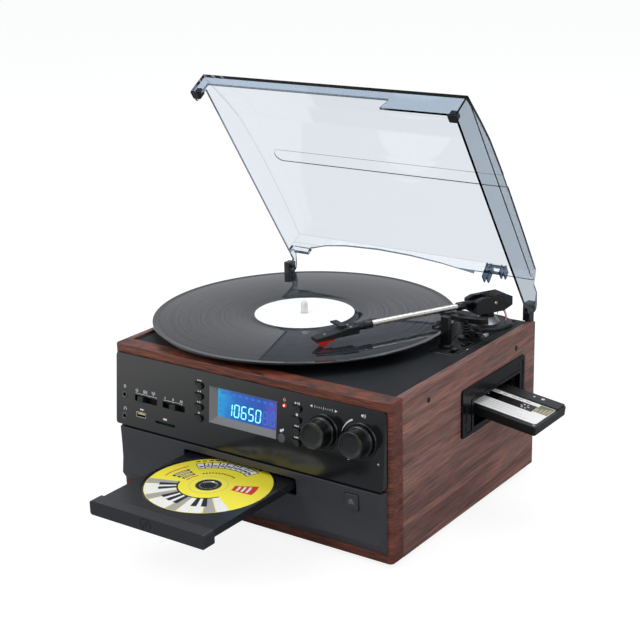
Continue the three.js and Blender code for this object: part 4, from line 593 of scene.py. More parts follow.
def build(name, material, bm, at=UPRIGHT, body="cabinet", edge=0.0, angle=30, stands_for=()):
    """Makes a piece from a mesh in the millimetres of a frame of the cabinet's."""
    to_metres(bm)
    mesh = to_mesh(name, bm)
    mesh.materials.append(material)
    piece = add_object(name, mesh)
    piece.matrix_world = in_scene(at)
    soften(piece, edge, 2, angle)
    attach(piece, body)
    if stands_for:
        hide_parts(*stands_for)


def refine(node, material, bm, at, angle=40):
    """A finer shape that stands for a CAD node, on its body."""
    body = NODES[node]["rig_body"]
    build(node + "_dressed", material, bm, at, body, angle=angle, stands_for=[node])


def dress(node, material, edge=0.4, segments=2, angle=30, cutter=None, zones=None, **settings):
    """A copy of a CAD node with welded corners and rounded edges, which stands for it.

    cutter is a closed shape to take out of it, and zones gives each face the number of its material.
    """
    bm = new()
    bm.from_mesh(NODES[node].data)
    bmesh.ops.remove_doubles(bm, verts=bm.verts, dist=MICRON)
    bmesh.ops.dissolve_limit(bm, angle_limit=math.radians(0.5), verts=bm.verts, edges=bm.edges)
    if zones:
        for face in bm.faces:
            face.material_index = zones(face)
    mesh = to_mesh(node + "_dressed", bm)
    for each in material if isinstance(material, tuple) else (material,):
        mesh.materials.append(each)
    piece = add_object(node + "_dressed", mesh)
    if cutter:
        carve(piece, cutter)
    soften(piece, edge, segments, angle, **settings)
    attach(piece, NODES[node]["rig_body"])
    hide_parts(node)


# Camera, light and floor

def add_camera():
    azimuth, elevation, roll = 35.52, 17.86, 1.42
    aim, distance = (-125.69, 163.93, 96.59), 1600
    turn = rotated(azimuth, "Z") @ rotated(90 - elevation, "X") @ rotated(-roll, "Z")
    data = bpy.data.cameras.new("camera")
    data.sensor_width = 36
    data.lens = 80
    data.clip_end = 50
    camera = add_object("camera", data)
    camera.matrix_world = in_scene(shifted(*aim) @ turn @ shifted(0, 0, distance))
    bpy.context.scene.camera = camera


def add_lamp(name, spot, size, power):
    """A soft box in metres, which points at the object."""
    aim = Vector((0, 0, 0.1))
    data = bpy.data.lights.new(name, "AREA")
    data.shape = "RECTANGLE"
    data.size, data.size_y = size
    data.energy = power
    light = add_object(name, data)
    light.location = spot
    light.rotation_mode = "QUATERNION"
    light.rotation_quaternion = (aim - Vector(spot)).to_track_quat("-Z", "Y")


def add_world():
    """A plain sky: full in the picture and through the clear cover, and dimmer as a light and in mirrors."""
    world = bpy.data.worlds.new("world")
    world.use_nodes = True
    bpy.context.scene.world = world
    sky = Nodes(world.node_tree)
    background = sky.tree.nodes["Background"]
    background.inputs["Color"].default_value = (0.92, 0.95, 1, 1)
    names = ("Is Camera Ray", "Is Transmission Ray", "Is Glossy Ray", "Glossy Depth")
    seen, passed, glossy, depth = sky.light_path(*names)
    ambient = sky.node("Mix", {0: glossy, 2: 0.5, 3: 0.62})
    shown = sky.span(depth, 0, 1, 1, 0.42)
    strength = sky.node("Mix", {0: sky.sum("MAXIMUM", seen, passed), 2: ambient, 3: shown})
    sky.feed(background.inputs["Strength"], strength)


def add_floor():
    """A pale floor, which glossy faces mirror as white at its left and as greys further right."""
    paint = Paint("floor", Base_Color=srgb("f2f2f2"), Roughness=0.9, Specular_IOR_Level=0.1)
    seen, passed, glossy = paint.light_path("Is Camera Ray", "Is Transmission Ray", "Is Glossy Ray")
    place = paint.span(paint.node("SeparateXYZ", {0: paint.spot()}), -0.8, 0.8, 0, 1)
    sheen = paint.ramp(place, (0.13, "ffffff"), (0.37, "585a5e"), (0.6, "4e5054"), (0.85, "76787d"))
    tone = paint.mix(paint.sum("SUBTRACT", glossy, passed), (1, 1, 1, 1), sheen)
    white = paint.node("Emission", {"Color": tone, "Strength": paint.span(passed, 0, 1, 1.15, 1)})
    share = paint.sum("MAXIMUM", paint.sum("MAXIMUM", seen, passed), glossy)
    share = paint.sum("MAXIMUM", paint.sum("MULTIPLY", share, 0.75), passed)
    bm = new()
    reach = 20
    bm.faces.new(corners(bm, "Z", rectangle(reach, reach), 0))
    mesh = to_mesh("floor", bm)
    mesh.materials.append(paint.overlay(share, white))
    add_object("floor", mesh)


def add_surroundings():
    bpy.context.scene.view_settings.view_transform = "Standard"
    add_world()
    add_lamp("key", (-1.2, -1.6, 1.9), (1.2, 1.2), 26)
    add_lamp("fill", (2.0, -0.9, 1.2), (1.0, 1.4), 14)
    add_lamp("top", (0.1, 0.9, 2.2), (2.2, 0.9), 20)
    add_floor()


# Screws

def screw(heads, cross_shades, at, radius):
    """A round head, and a cross on it which, in a dark material, paints the shade in its recess, on the XY
    plane of a frame.
    """
    rise = 0.7
    profile = [(0, -0.4), (radius, -0.4), (radius, 0), (radius, rise * 0.3)]
    profile += [(radius * 0.8, rise * 0.8), (radius * 0.45, rise), (0, rise)]
    head = turned(profile, steps=24)
    head.transform(at)
    merge(heads, head)
    long, thin = radius * 0.6, radius * 0.11
    for turn in (20, 110):
        bar = blocks((-long, long, -thin, thin, rise * 0.6, rise + 0.03))
        bar.transform(at @ rotated(turn, "Z"))
        merge(cross_shades, bar)


def add_screws(
    name, direction, spots, material=STEEL, dark=BLACK, radius=2.6, at=UPRIGHT, body="cabinet"
):
    """A set of crosshead screws, each with a dark cross on its head that paints the shade in its recess."""
    heads, cross_shades = new(), new()
    turn = Vector((0, 0, 1)).rotation_difference(Vector(direction)).to_matrix().to_4x4()
    for spot in spots:
        screw(heads, cross_shades, shifted(*spot) @ turn, radius)
    build(name, material, heads, at, body, angle=40)
    # Each cross's dark material paints the shade in the recess of its head.
    build(name + "_crosses", dark, cross_shades, at, body)


# Cabinet

def add_cabinet():
    dress("front_frame", FRAME_WOOD, 1.0, 3)
    dress("left_side_panel", SIDE_WOOD_AND_SHEEN, 0.8, 3)
    dress("right_side_panel", SIDE_WOOD_AND_SHEEN, 0.8, 3)
    dress("back_panel", BOARD_WOOD)
    dress("bottom_panel", BOARD_WOOD)
    dress("deck_plate", DECK, 0.5)
    foot = [(0, -3.6), (3, -3.6), (3.4, -5), (8.2, -5), (9, -4.2), (8.6, -0.4), (8.6, 0), (0, 0)]
    for end in ("front", "rear"):
        for side in ("left", "right"):
            node = f"foot_{end}_{side}"
            low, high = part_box(node)
            middle = ((low + high) / 2 - ORIGIN) / MM
            refine(node, RUBBER, turned(foot, steps=48), shifted(middle.x, middle.y, 0))
    for side, name in ((-1, "left"), (1, "right")):
        spots = [(side * HALF_WIDTH, y, z) for y, z in ((-71.5, 135), (92.8, 134.8))]
        add_screws("side_screws_" + name, (side, 0, 0), spots, BLACK, RUBBER)
    spots = [(x, HALF_DEPTH, z) for z in (16, 138) for x in (-140, 0, 140)]
    add_screws("back_screws", (0, 1, 0), spots)


# Turntable

def add_record():
    # The underside and the rim
    profile = [(3.7, 158.3), (50, 158.3), (50.4, 158.6), (148.3, 158.6), (150.3, 158.3), (150.7, 158.5)]
    profile += [(150.8, 159), (150.8, 159.6), (150.7, 160.1), (150.3, 160.3), (149.4, 160.3), (148.2, 160.05)]
    # The grooves, with a smooth ring outside and inside them, and the bed of the label
    profile += [(146, 160.03), (145.7, 159.97), (144.6, 159.97), (144.3, 160.03)]
    profile += [(60, 160.02), (59.7, 159.97), (53, 159.97), (52.6, 160.28), (50.4, 160.3), (3.7, 160.3)]
    refine("record", VINYL, turned(profile, steps=256), SPINDLE, angle=20)
    profile = [(3.8, 160.32), (49.6, 160.32), (49.8, 160.38), (49.6, 160.44), (3.8, 160.44)]
    label = turned(profile, steps=160)
    build("record_label", PAPER, label, SPINDLE, "turntable", angle=40)


def add_turntable():
    add_record()
    profile = [(3.9, 150.8), (9, 150.8), (9, 155), (51, 155), (51, 150.8), (55, 150.8), (55, 155), (94, 155)]
    profile += [(94, 151.2), (94.4, 150.8), (97.4, 150.8), (98, 151.4), (98, 157.4), (97.4, 158), (3.9, 158)]
    refine("platter", BLACK, turned(profile, steps=160), SPINDLE, angle=35)
    profile = [(0, 118), (3.5, 118), (3.5, 142), (12, 142), (12, 146), (3.5, 146), (3.5, 149), (7, 149)]
    profile += [(7, 150.5), (3.5, 150.5), (3.5, 166.2), (3.35, 166.6), (3.35, 167.4), (3.5, 167.8)]
    profile += [(3.3, 169.8), (2.7, 171.5), (1.5, 172.6), (0, 172.8)]
    refine("spindle", PALE, turned(profile, steps=48), SPINDLE, angle=50)
    dress("turntable_motor", STEEL, 0.5, angle=40)
    dress("motor_pulley", PALE, 0, angle=40)
    dress("drive_belt", RUBBER, 0, angle=40)


# Tonearm and deck

ARM_AXIS = (0, 173)


def add_arm_tube():
    bm = new()
    disc(bm, *ARM_AXIS, 3.0, 30, 136, "X", 40)
    refine("arm_tube", CHROME, bm, ARM)
    # The tube's rear end, its pivot pin and the collar behind the headshell
    rear = [(0, -9), (3.2, -9), (3.2, 6), (3.9, 7), (3.9, 27), (4.2, 27.6), (4.2, 35.4), (3.9, 36), (2.6, 36)]
    rear += [(2.6, 31), (0, 31)]
    collar = [(2.6, 132.6), (3.9, 132.6), (4.2, 133), (4.2, 136.2), (3.8, 136.6), (3.8, 138), (4.2, 138.4)]
    collar += [(4.2, 141.6), (3.9, 142), (2.4, 142), (2.4, 148), (0, 148), (0, 135), (2.6, 135)]
    bm = turned(rear, "X", ARM_AXIS, 40)
    lathe(bm, [(1.5, -10.2), (1.5, 10.2), (0, 10.2), (0, -10.2)], "Y", (-3, ARM_AXIS[1]), 20)
    lathe(bm, collar, "X", ARM_AXIS, 40)
    build("arm_collars", BLACK, bm, ARM, "arm", angle=35)


def add_pivot():
    profile = [(1.7, 10.4), (1.7, 10.9), (1.3, 11.2), (0, 11.2), (0, 10.4)]
    head = turned(profile, "Y", (-3, ARM_AXIS[1]), 24)
    build("pivot_screw", BRASS, head, ARM, "arm_yoke", angle=40)
    # A dark strip on the housing's side paints the shade in a slot under the pivot screw.
    slot = blocks((-5.3, -4.7, 10.3, 10.56, 161.5, 168.5))
    build("pivot_slot_shade", RUBBER, slot, ARM, "arm_yoke")
    rows = [-7.7 + 2.2 * row for row in range(8)]
    ribs = blocks(*((-16, 3, across - 0.6, across + 0.6, 179.3, 180.1) for across in rows))
    build("housing_ribs", BLACK, ribs, ARM, "arm_yoke", edge=0.25)
    profile = [(8.1, 158.2), (7.2, 158.2), (7.2, 152.1), (12.9, 152.1), (12.7, 152.6), (8.3, 158)]
    build("pivot_cone", SATIN_METAL, turned(profile, steps=64), PIVOT)
    for color, side, material in (("red", 0.7, RED), ("white", -0.7, PALE)):
        path = ((-13, 8, 165), (-14.5, 9.5, 162), (-15.5, 10.5, 158), (-14.5, 10, 153))
        bm = new()
        tube(bm, [(side + x, y, z) for x, y, z in path], 0.5)
        build("arm_wire_" + color, material, bm, ARM, "arm_yoke", angle=60)


def add_headshell():
    bm = new()
    for along, across in ((157, -3.4), (157, 3.4), (183, 0)):
        top = 176.05 - (along - 150) * 6 / 44
        profile = [(1.3, top - 0.6), (1.3, top + 0.3), (0.9, top + 0.5), (0, top + 0.5), (0, top - 0.6)]
        lathe(bm, profile, "Z", (along, across), 20)
    build("headshell_screws", STEEL, bm, ARM, "arm", angle=40)
    rails = blocks(*((151.5, 166, *across, 174.2, 175.4) for across in ((-7.3, -5.9), (5.9, 7.3))))
    build("headshell_rails", BLACK, rails, ARM, "arm", edge=0.3)


def add_deck_details():
    # A raised line round the arm's part of the deck
    right = [(141.5, y) for y in (124, 100, 60, 30, 14)]
    front = arc(135.5, 12, 6, 0, -90, 6) + arc(116, 12, 6, -90, -180, 6)
    beside_record = arc(-38, 15, 153.6, 4, 30, 16)
    rear = [(92, 104), (93, 118), (99, 126), (108, 128.5), (134, 128.5), (139, 127.5)]
    bm = new()
    tube(bm, [(x, y, 149.0) for x, y in right + front + beside_record + rear], 0.8, closed=True)
    build("deck_ridge", SATIN, bm, angle=60)
    bm = new()
    for y in (18, 39.5):
        outer = rounded(127, 137, y - 9.6, y + 9.6, 2)
        inner = rounded(128.9, 135.1, y - 7.1, y + 7.1, 0.6)
        loops(bm, "Z", (outer, 148.8), (outer, 149.7), (inner, 149.7), (inner, 148.8))
    build("switch_surrounds", SATIN, bm, edge=0.25)
    bm = new()
    for y in (8.5, 29):
        disc(bm, 139.3, y, 0.9, 148.9, 149.06, steps=16)
    build("deck_marks", WHITE_INK, bm)
    bead = [(19.2, 152.02), (20, 152.45), (23, 152.45), (23.8, 152.02), (23.8, 151.8), (19.2, 151.8)]
    build("base_bead", SATIN, turned(bead), PIVOT, angle=50)
    grip = turned([(0, -3.7), (2.0, -3.7), (2.6, -2.8), (2.6, 2.8), (2.0, 3.7), (0, 3.7)], steps=24)
    tip = shifted(143, 57, 155.2) @ rotated(90, "X")
    build("lever_grip", SATIN_METAL, grip, tip, "lever", angle=40)


# Printed marks of the upper panel: X across the panel and Z up the cabinet

PRINT = (-0.07, 0.02)
JACK_X = -143
RECEIVER_X, RECEIVER_Z = 45.2, 98.3
TUNING_X, VOLUME_X, KNOB_Z = 89.8, 129.5, 113.4
SCALE_Z = 106.4
# The heights of the signs over the four rows of keys
SIGNS = [row + 5.0 for row in (128.6, 118.2, 107.8, 97.4)]


def print_shape(bm, x, z, points):
    extrude(bm, [(x + a, up(z) + b) for a, b in points], "Y", *PRINT)


def print_bar(bm, x, z, half_width, half_height, dx=0.0, dy=0.0):
    print_shape(bm, x, z, rectangle(half_width, half_height, dx, dy))


def print_ring(bm, x, z, inner, outer, start=0, end=360):
    ring(bm, x, up(z), inner, outer, "Y", *PRINT, start, end)


def print_scale(bm, left, right, ticks):
    """A line over a slide switch, with a tick at each place of the switch."""
    block(bm, left, right, *PRINT, up(SCALE_Z), up(SCALE_Z) + 0.3)
    for x in ticks:
        block(bm, x - 0.15, x + 0.15, *PRINT, up(SCALE_Z - 1.1), up(SCALE_Z))


def print_inputs(bm):
    # An arrow into a ring, and headphones
    print_ring(bm, JACK_X, 110, 0.9, 1.3, -60, 240)
    print_shape(bm, JACK_X, 111.4, [(-0.9, 0.6), (0.9, 0.6), (0, -1)])
    print_ring(bm, -142.6, 88.5, 1.25, 1.65, 0, 180)
    for side in (-1, 1):
        print_bar(bm, -142.6, 87.9, 0.35, 0.75, side * 1.4)
    # A plug and a card
    print_bar(bm, -121.7, 91.3, 1.5, 0.7)
    print_bar(bm, -119.4, 91.3, 0.8, 0.45)
    print_shape(bm, -91.7, 87.4, [(-2.2, -0.8), (2.2, -0.8), (2.2, 0.4), (1.6, 0.9), (-2.2, 0.9)])


def print_switches(bm):
    # What the first slide switch selects: a record, a cassette and a radio mast
    print_scale(bm, -129.5, -102.5, (-121, -111, -103))
    print_ring(bm, -127.5, 109.3, 0.35, 0.6)
    print_ring(bm, -127.5, 109.3, 1.3, 1.6)
    for half in (1, -1):
        print_bar(bm, -117, 109.3, 2.3, 0.18, 0, half * 1.35)
        print_bar(bm, -117, 109.3, 0.18, 1.5, half * 2.15)
        print_ring(bm, -117 + half * 0.95, 109.3, 0.25, 0.6)
    print_bar(bm, -106.5, 109.1, 0.2, 1.6)
    for start in (-50, 130):
        for radius in (1.0, 1.8):
            print_ring(bm, -106.5, 110.2, radius, radius + 0.3, start, start + 100)
    # The bands of the second one, as one, two and three strokes
    places = (-92, -82, -72)
    print_scale(bm, -94, -70, places)
    for count, x in enumerate(places, 1):
        for stroke in range(count):
            print_bar(bm, x + 1.1 * (stroke - (count - 1) / 2), 108.8, 0.25, 1.1)


def print_keys(bm):
    # On the left: three dots, two arrows back, two arrows on and a ring
    for x in (-52.2, -50.4, -48.6):
        print_bar(bm, x, SIGNS[0], 0.55, 0.55)
    for z, side in ((SIGNS[1], -1), (SIGNS[2], 1)):
        for x in (-51.6, -49.2):
            print_shape(bm, x, z, triangle(side, 0.8, 0.9))
    print_ring(bm, -50.5, SIGNS[3], 0.5, 1.0)
    # On the right: play and pause, stop, on and back
    middle = 61.5
    print_shape(bm, middle - 1.5, SIGNS[0], triangle(1))
    print_bar(bm, middle + 0.8, SIGNS[0], 0.35, 1.2)
    print_bar(bm, middle + 2.3, SIGNS[0], 0.35, 1.2)
    print_bar(bm, middle, SIGNS[1], 1.15, 1.15)
    for z, side in ((SIGNS[2], 1), (SIGNS[3], -1)):
        for step in (-1.2, 0.6):
            print_shape(bm, middle + side * step, z, triangle(side, 0.9, 0.95))
        print_bar(bm, middle + side * 2.1, z, 0.25, 0.95)
    # Two sheets over the receiver's window
    print_bar(bm, RECEIVER_X, 105.4, 1.2, 1.3, -0.5, -0.3)
    print_bar(bm, 46.4, 106.3, 0.8, 1.1, 0.4, 0)


def print_knobs(bm):
    # Tuning arrows and a short scale
    for x, side in ((76.5, -1), (103, 1)):
        print_shape(bm, x, 134.6, triangle(side, 1.3, 1.3))
    for tick in range(9):
        print_bar(bm, 80.5 + 2.3 * tick, 134.6, 0.2, 0.7 if tick % 4 else 1.3)
    # The volume's swelling arc, a loudspeaker, and the two ends of its turn
    steps, start, end = 20, 118, 165
    swell = arc(VOLUME_X, up(KNOB_Z), 20.6, start, end, steps)
    for step in range(steps + 1):
        turn = math.radians(end - (end - start) * step / steps)
        radius = 20.4 - 1.4 * step / steps
        swell.append((VOLUME_X + radius * math.cos(turn), up(KNOB_Z) + radius * math.sin(turn)))
    extrude(bm, swell, "Y", *PRINT)
    horn = [(-1.6, -0.7), (-0.6, -0.7), (0.7, -1.7), (0.7, 1.7), (-0.6, 0.7), (-1.6, 0.7)]
    print_shape(bm, 130.5, 136.2, horn)
    for radius in (1.4, 2.4):
        print_ring(bm, 130.9, 136.2, radius, radius + 0.35, -45, 45)
    print_ring(bm, 117.5, 95.2, 0.8, 1.15)
    print_bar(bm, 148.2, 96.5, 1.1, 0.2)
    print_bar(bm, 148.2, 96.5, 0.2, 1.1)


def add_panel_marks():
    bm = new()
    for part in (print_inputs, print_switches, print_keys, print_knobs):
        part(bm)
    build("panel_marks", WHITE_INK, bm, FACE)

    bm = new()
    print_ring(bm, 47.5, 134.2, 1.0, 1.4, 120, 420)
    print_bar(bm, 47.5, 135.2, 0.2, 0.8)
    build("power_mark", PINK_INK, bm, FACE)


def add_sockets():
    receiver = (RECEIVER_X, up(RECEIVER_Z))
    window = turned([(0, -0.25), (3.2, -0.25), (3.6, 0.02), (0, 0.02)], "Y", receiver, 40)
    build("receiver_window", WINDOW, window, FACE, angle=20)
    bm = new()
    ring(bm, *receiver, 3.7, 4.2, "Y", -0.2, 0.02)
    rim = [(1.8, 0.2), (1.8, -0.5), (2.3, -0.95), (2.9, -0.95), (3.5, -0.3), (3.5, 0.2)]
    for z in (102.5, 81):
        lathe(bm, rim, "Y", (JACK_X, up(z)), 40)
    build("panel_rims", RIM, bm, FACE, angle=35)
    tongue = blocks((-126.2, -117.2, -0.15, 3.2, up(86) + 0.1, up(86) + 1.5))
    build("usb_tongue", BRASS, tongue, FACE, edge=0.15)
    bm = new()
    outer = rounded(-127.9, -115.5, up(83.3), up(88.7), 0.7)
    inner = rounded(-127.2, -116.2, up(84), up(88), 0.4)
    loops(bm, "Y", (outer, 0.3), (outer, -0.3), (inner, -0.3), (inner, 0.3))
    build("usb_rim", BRASS, bm, FACE)
    profile = [(0, -0.95), (0.55, -0.9), (0.8, -0.75), (0.8, -0.5), (0, -0.5)]
    core = turned(profile, "Y", (47.5, up(129)), 20)
    build("power_led_core", LED_CORE, core, FACE, angle=60)


def add_knobs():
    knob = [(0, 6.2), (3, 6.2), (3, -0.3), (13.8, -0.3), (14.2, -0.7), (14.2, -3.8), (13.9, -4.5)]
    knob += [(13.2, -4.9), (12.7, -5.1), (12.5, -5.6), (12.1, -15.6), (12.2, -16.3), (12.1, -16.8)]
    knob += [(11.7, -17.15), (11.1, -17.2), (10.6, -17), (10.2, -16.75), (7, -16.6), (3.5, -16.5), (0, -16.5)]
    bead = [(14.9, 0.1), (14.9, -0.9), (15.2, -1.5), (15.8, -1.8), (16.4, -1.5), (16.8, -0.9), (16.8, 0.1)]
    for name, x in (("tuning_knob", TUNING_X), ("volume_knob", VOLUME_X)):
        at = on_face(x, KNOB_Z)
        refine(name, KNOB, turned(knob, "Y"), at)
        build(name + "_bead", KNOB, turned(bead, "Y"), at, angle=70)


def add_slot_backing():
    """Dark plates behind the openings of the switches and of the card slot, which paint the shade inside
    them.
    """
    backing = blocks(
        (-136, -101.5, 5.4, 5.8, up(97), up(105.5)),
        (-100.5, -67, 5.4, 5.8, up(97), up(105.5)),
        (-110, -79, 5.4, 5.8, up(78.5), up(85)),
    )
    build("slot_shade_backing", RUBBER, backing, FACE)


# Display

STROKES = {"0": "abcdef", "1": "bc", "5": "afgcd", "6": "afgedc", " ": ""}
GLASS_DEPTH = 2.5
INK_TOP = GLASS_DEPTH + 0.02


def segment(letter):
    """The outline of one stroke of a seven-stroke digit, about the digit's centre."""
    width, height, thick, gap = 5.2, 11.5, 1.15, 0.18
    half, quarter, tip = width / 2, height / 4, thick / 2
    flat = {"a": height / 2, "g": 0, "d": -height / 2}
    end = (half if letter in flat else quarter) - gap
    side = end - tip
    stroke = [(-end, 0), (-side, tip), (side, tip), (end, 0), (side, -tip), (-side, -tip)]
    if letter in flat:
        return [(a, flat[letter] + b) for a, b in stroke]
    x = half if letter in "bc" else -half
    y = quarter if letter in "bf" else -quarter
    return [(x + b, y + a) for a, b in stroke]


def add_display():
    def window(left, right, bottom, top):
        return [(left, up(bottom)), (right, up(bottom)), (right, up(top)), (left, up(top))]

    rear, front = 5.5, -0.35
    outer = window(-38, 39.5, 96, 131)
    lip = window(-37.5, 39.3, 96.6, 130.7)
    glass = window(-30, 39, 103, 130)
    bm = new()
    loops(bm, "Y", (outer, rear), (outer, front), (lip, front), (glass, GLASS_DEPTH), (glass, rear))
    build("lcd_surround", SURROUND, bm, FACE, edge=0.15, stands_for=["lcd_window"])
    pane = blocks((-30, 39, GLASS_DEPTH, 5.4, up(103), up(130)))
    build("lcd_screen", SCREEN, pane, FACE)

    lit, dim = new(), new()
    middle = up(111.8)
    lean = 0.08
    for place, digit in enumerate("10650  "):
        x = -16 + 8.2 * place
        for letter in "abcdefg":
            points = [(x + a + lean * b, middle + b) for a, b in segment(letter)]
            bm = lit if letter in STROKES[digit] else dim
            extrude(bm, points, "Y", GLASS_DEPTH - 0.06, INK_TOP)
    point = rounded(5.9, 7.1, middle - 6.3, middle - 5.1, 0.3, 2)
    extrude(lit, point, "Y", GLASS_DEPTH - 0.06, INK_TOP)
    for x in (-26, -20, -13, -6, 1, 8, 15, 22, 29):
        dash = rounded(x, x + 4.4, up(125.2), up(127.6), 0.5, 2)
        extrude(dim, dash, "Y", GLASS_DEPTH - 0.05, INK_TOP)
    for x, z in ((-27, 119), (-27, 114), (-27, 108.5), (34, 120), (34, 114)):
        ring(dim, x, up(z), 0.9, 1.5, "Y", GLASS_DEPTH - 0.05, INK_TOP)
    build("lcd_digits", LIT, lit, FACE)
    build("lcd_faint_marks", DIM, dim, FACE)


# Lower panel and disc

def add_lower_panel():
    recess = new()
    extrude(recess, rounded(-146, 140, 35, 66.2, 15, 16), "Y", -150, -140.9)
    dress("lower_panel", CHARCOAL, 0.8, segments=3, cutter=recess)
    bm = new()
    for points in ([(-3.2, 1.2), (3.2, 1.2), (0, 4.4)], rectangle(3.2, 0.6)):
        extrude(bm, [(120.7 + a, 54.5 + b) for a, b in points], "Y", -141.56, -141.4)
    build("eject_mark", GREY_MARK, bm, body="eject_key")


DISC_TOP = 57.5
# Just under the disc's face, and then the tops of its layers of ink
DISC_LEVELS = [DISC_TOP - 0.01] + [DISC_TOP + 0.03 * level for level in range(1, 5)]


def stripe(bm, level, inner, outer, start=0, end=360):
    """Part of a ring round the disc, in one of the layers of ink."""
    ring(bm, 0, 0, inner, outer, "Z", *DISC_LEVELS[level : level + 2], start, end)


def print_piano(white, black, grey):
    """A row of keys along the near rim, with short dark ones between them."""
    for key in range(11):
        start = 196 + 12 * key
        stripe(white if key % 3 else grey, 1, 29, 57.8, start + 0.5, start + 11.5)
        stripe(black, 1, 27.4, 29, start, start + 12)
    for key in (0, 1, 3, 4, 5, 7, 8):
        start = 204.5 + 12 * key
        stripe(black, 2, 29, 45, start, start + 7)


def print_band(white, black):
    """A chequered band along the far rim, between two rows of dashes."""
    for place in range(9):
        start = 62 + 9 * place
        stripe(white, 2, 38, 49, start + 0.8, start + 8.2)
        stripe(black, 1, 37, 50, start, start + 9)
        stripe(black, 3, 40.5, 43, start + 2, start + 7)
        if place % 2:
            stripe(black, 3, 44.5, 47, start + 3.5, start + 5.5)
    for radius in (53.2, 25):
        for place in range(12):
            start = 66 + 6.5 * place
            stripe(black, 1, radius, radius + 2, start, start + 4)


def print_tabs(white, black, red):
    """A red tab with white bars to the right, and red-edged bars to the left."""
    stripe(red, 1, 24, 46, 4, 27)
    for radius in (28, 33, 38):
        stripe(white, 2, radius, radius + 2.4, 7, 24)
    for radius in (23, 46.5):
        stripe(red, 1, radius, radius + 1.4, 152, 186)
    for radius in (27, 32.5, 38):
        stripe(black, 1, radius, radius + 3.4, 155, 183)
        stripe(white, 2, radius + 1.1, radius + 2.2, 159, 179)


def add_disc():
    profile = [(7.5, 56.3), (7.7, 56.3), (59.8, 56.3), (60, 56.5), (60, 57.3), (59.8, DISC_TOP)]
    profile += [(7.7, DISC_TOP), (7.5, 57.3)]
    refine("compact_disc", DISC_SILVER, turned(profile, steps=192), DISC)
    yellow, rims, white, black, red, grey = (new() for _ in range(6))
    stripe(yellow, 0, 12.2, 58.4)
    stripe(rims, 0, 8.6, 11.6)
    stripe(rims, 0, 58.5, 59.7)
    stripe(grey, 1, 17.6, 18)
    print_piano(white, black, grey)
    print_band(white, black)
    print_tabs(white, black, red)
    for name, material, bm in (
        ("yellow", DISC_YELLOW, yellow),
        ("dark_rims", BLACK_INK, rims),
        ("print_white", DISC_WHITE, white),
        ("print_black", BLACK_INK, black),
        ("print_red", RED_INK, red),
        ("print_grey", GREY_INK, grey),
    ):
        build("disc_" + name, material, bm, DISC, "tray")


def add_tray():
    """The tray, with a duller bar across its front and a ring-shaped mark cut into that."""
    front, bar_rear = -268.5, -255
    x, z = -5, 53
    low, high = front - 0.5, front + 0.35
    mark = new()
    for inner, outer in ((5.2, 5.9), (1.2, 2)):
        lathe(mark, [(inner, low), (outer, low), (outer, high), (inner, high)], "Y", (x, z), 48)
    for start in (20, 200):
        ring(mark, x, z, 3.4, 4, "Y", low, high, start, start + 50)

    def zone(face):
        return int((face.calc_center_median().y - ORIGIN.y) / MM < bar_rear)

    dress("cd_tray", (TRAY, TRAY_BAR), 0.5, cutter=mark, zones=zone)


# Cassette side

BEZEL_FACE = 159.3


def add_bezel():
    dress("cassette_bezel", BEZEL, 0.5, segments=3)
    bm = new()
    base = BEZEL_FACE - 0.2
    rim, mouth = BEZEL_FACE + 0.5, BEZEL_FACE + 0.7
    outer, inner = rounded(-14.4, 107.7, 77.3, 124.4, 3), rounded(-10.8, 104.1, 80.9, 120.8, 1.6)
    crest = [(a * 0.999, b) for a, b in outer]
    loops(bm, "X", (outer, base), (crest, rim), (inner, rim), (inner, base))
    outer, inner = rounded(2.4, 100.2, 80.6, 111.6, 1.2), rounded(5.6, 97, 83.7, 108.5, 0.8)
    loops(bm, "X", (outer, base), (outer, mouth), (inner, mouth), (inner, BEZEL_FACE - 1.5))
    for start in (-8.2, 100.9):
        for row in range(6):
            z = 91 + 2.6 * row
            points = [(start, z), (start + 3.6, z + 1.4), (start + 3.6, z + 2.5), (start, z + 1.1)]
            extrude(bm, points, "X", BEZEL_FACE - 0.1, BEZEL_FACE + 0.55)
    build("bezel_trim", BEZEL, bm, edge=0.25)
    guide = blocks((146, 155.5, 5.8, 12.2, 86, 106), (155.3, 157.2, 7, 11.4, 91, 102))
    build("mouth_guide", BLACK, guide, edge=0.4)
    spots = [(BEZEL_FACE, y, z) for y, z in ((4.6, 115.6), (97.4, 116.4), (-6.4, 84.8), (101.5, 84.4))]
    add_screws("bezel_screws", (1, 0, 0), spots, BLACK, RUBBER, 1.9)


def add_to_tape(name, material, bm):
    build("cassette_" + name, material, bm, CASSETTE, "tape")


def add_cassette():
    dress("cassette", TAPE_SHELL, 0.5, segments=3)
    under = -0.02
    bm = new()
    for bottom, top, radius in ((41.6, 48.2, 1.5), (6.2, 27.2, 3)):
        extrude(bm, rounded(-94, -3.4, bottom, top, radius), "Z", under, 0.06)
    block(bm, -19, -3.4, 25, 44, under, 0.05)
    add_to_tape("label", PAPER, bm)
    bm = new()
    extrude(bm, rounded(-86, -19.6, 27.6, 41.2, 6.4, 10), "Z", under, 0.1)
    add_to_tape("window", TAPE_WINDOW, bm)
    for number, x in enumerate((-71.45, -28.95)):
        bm = new()
        ring(bm, x, 34, 4.3, 5.1, "Z", -3, -0.5)
        for tooth in range(0, 360, 60):
            ring(bm, x, 34, 2.5, 4.5, "Z", -3, 0.12, tooth - 11, tooth + 11)
        add_to_tape(f"hub_{number}", WHITE_INK, bm)


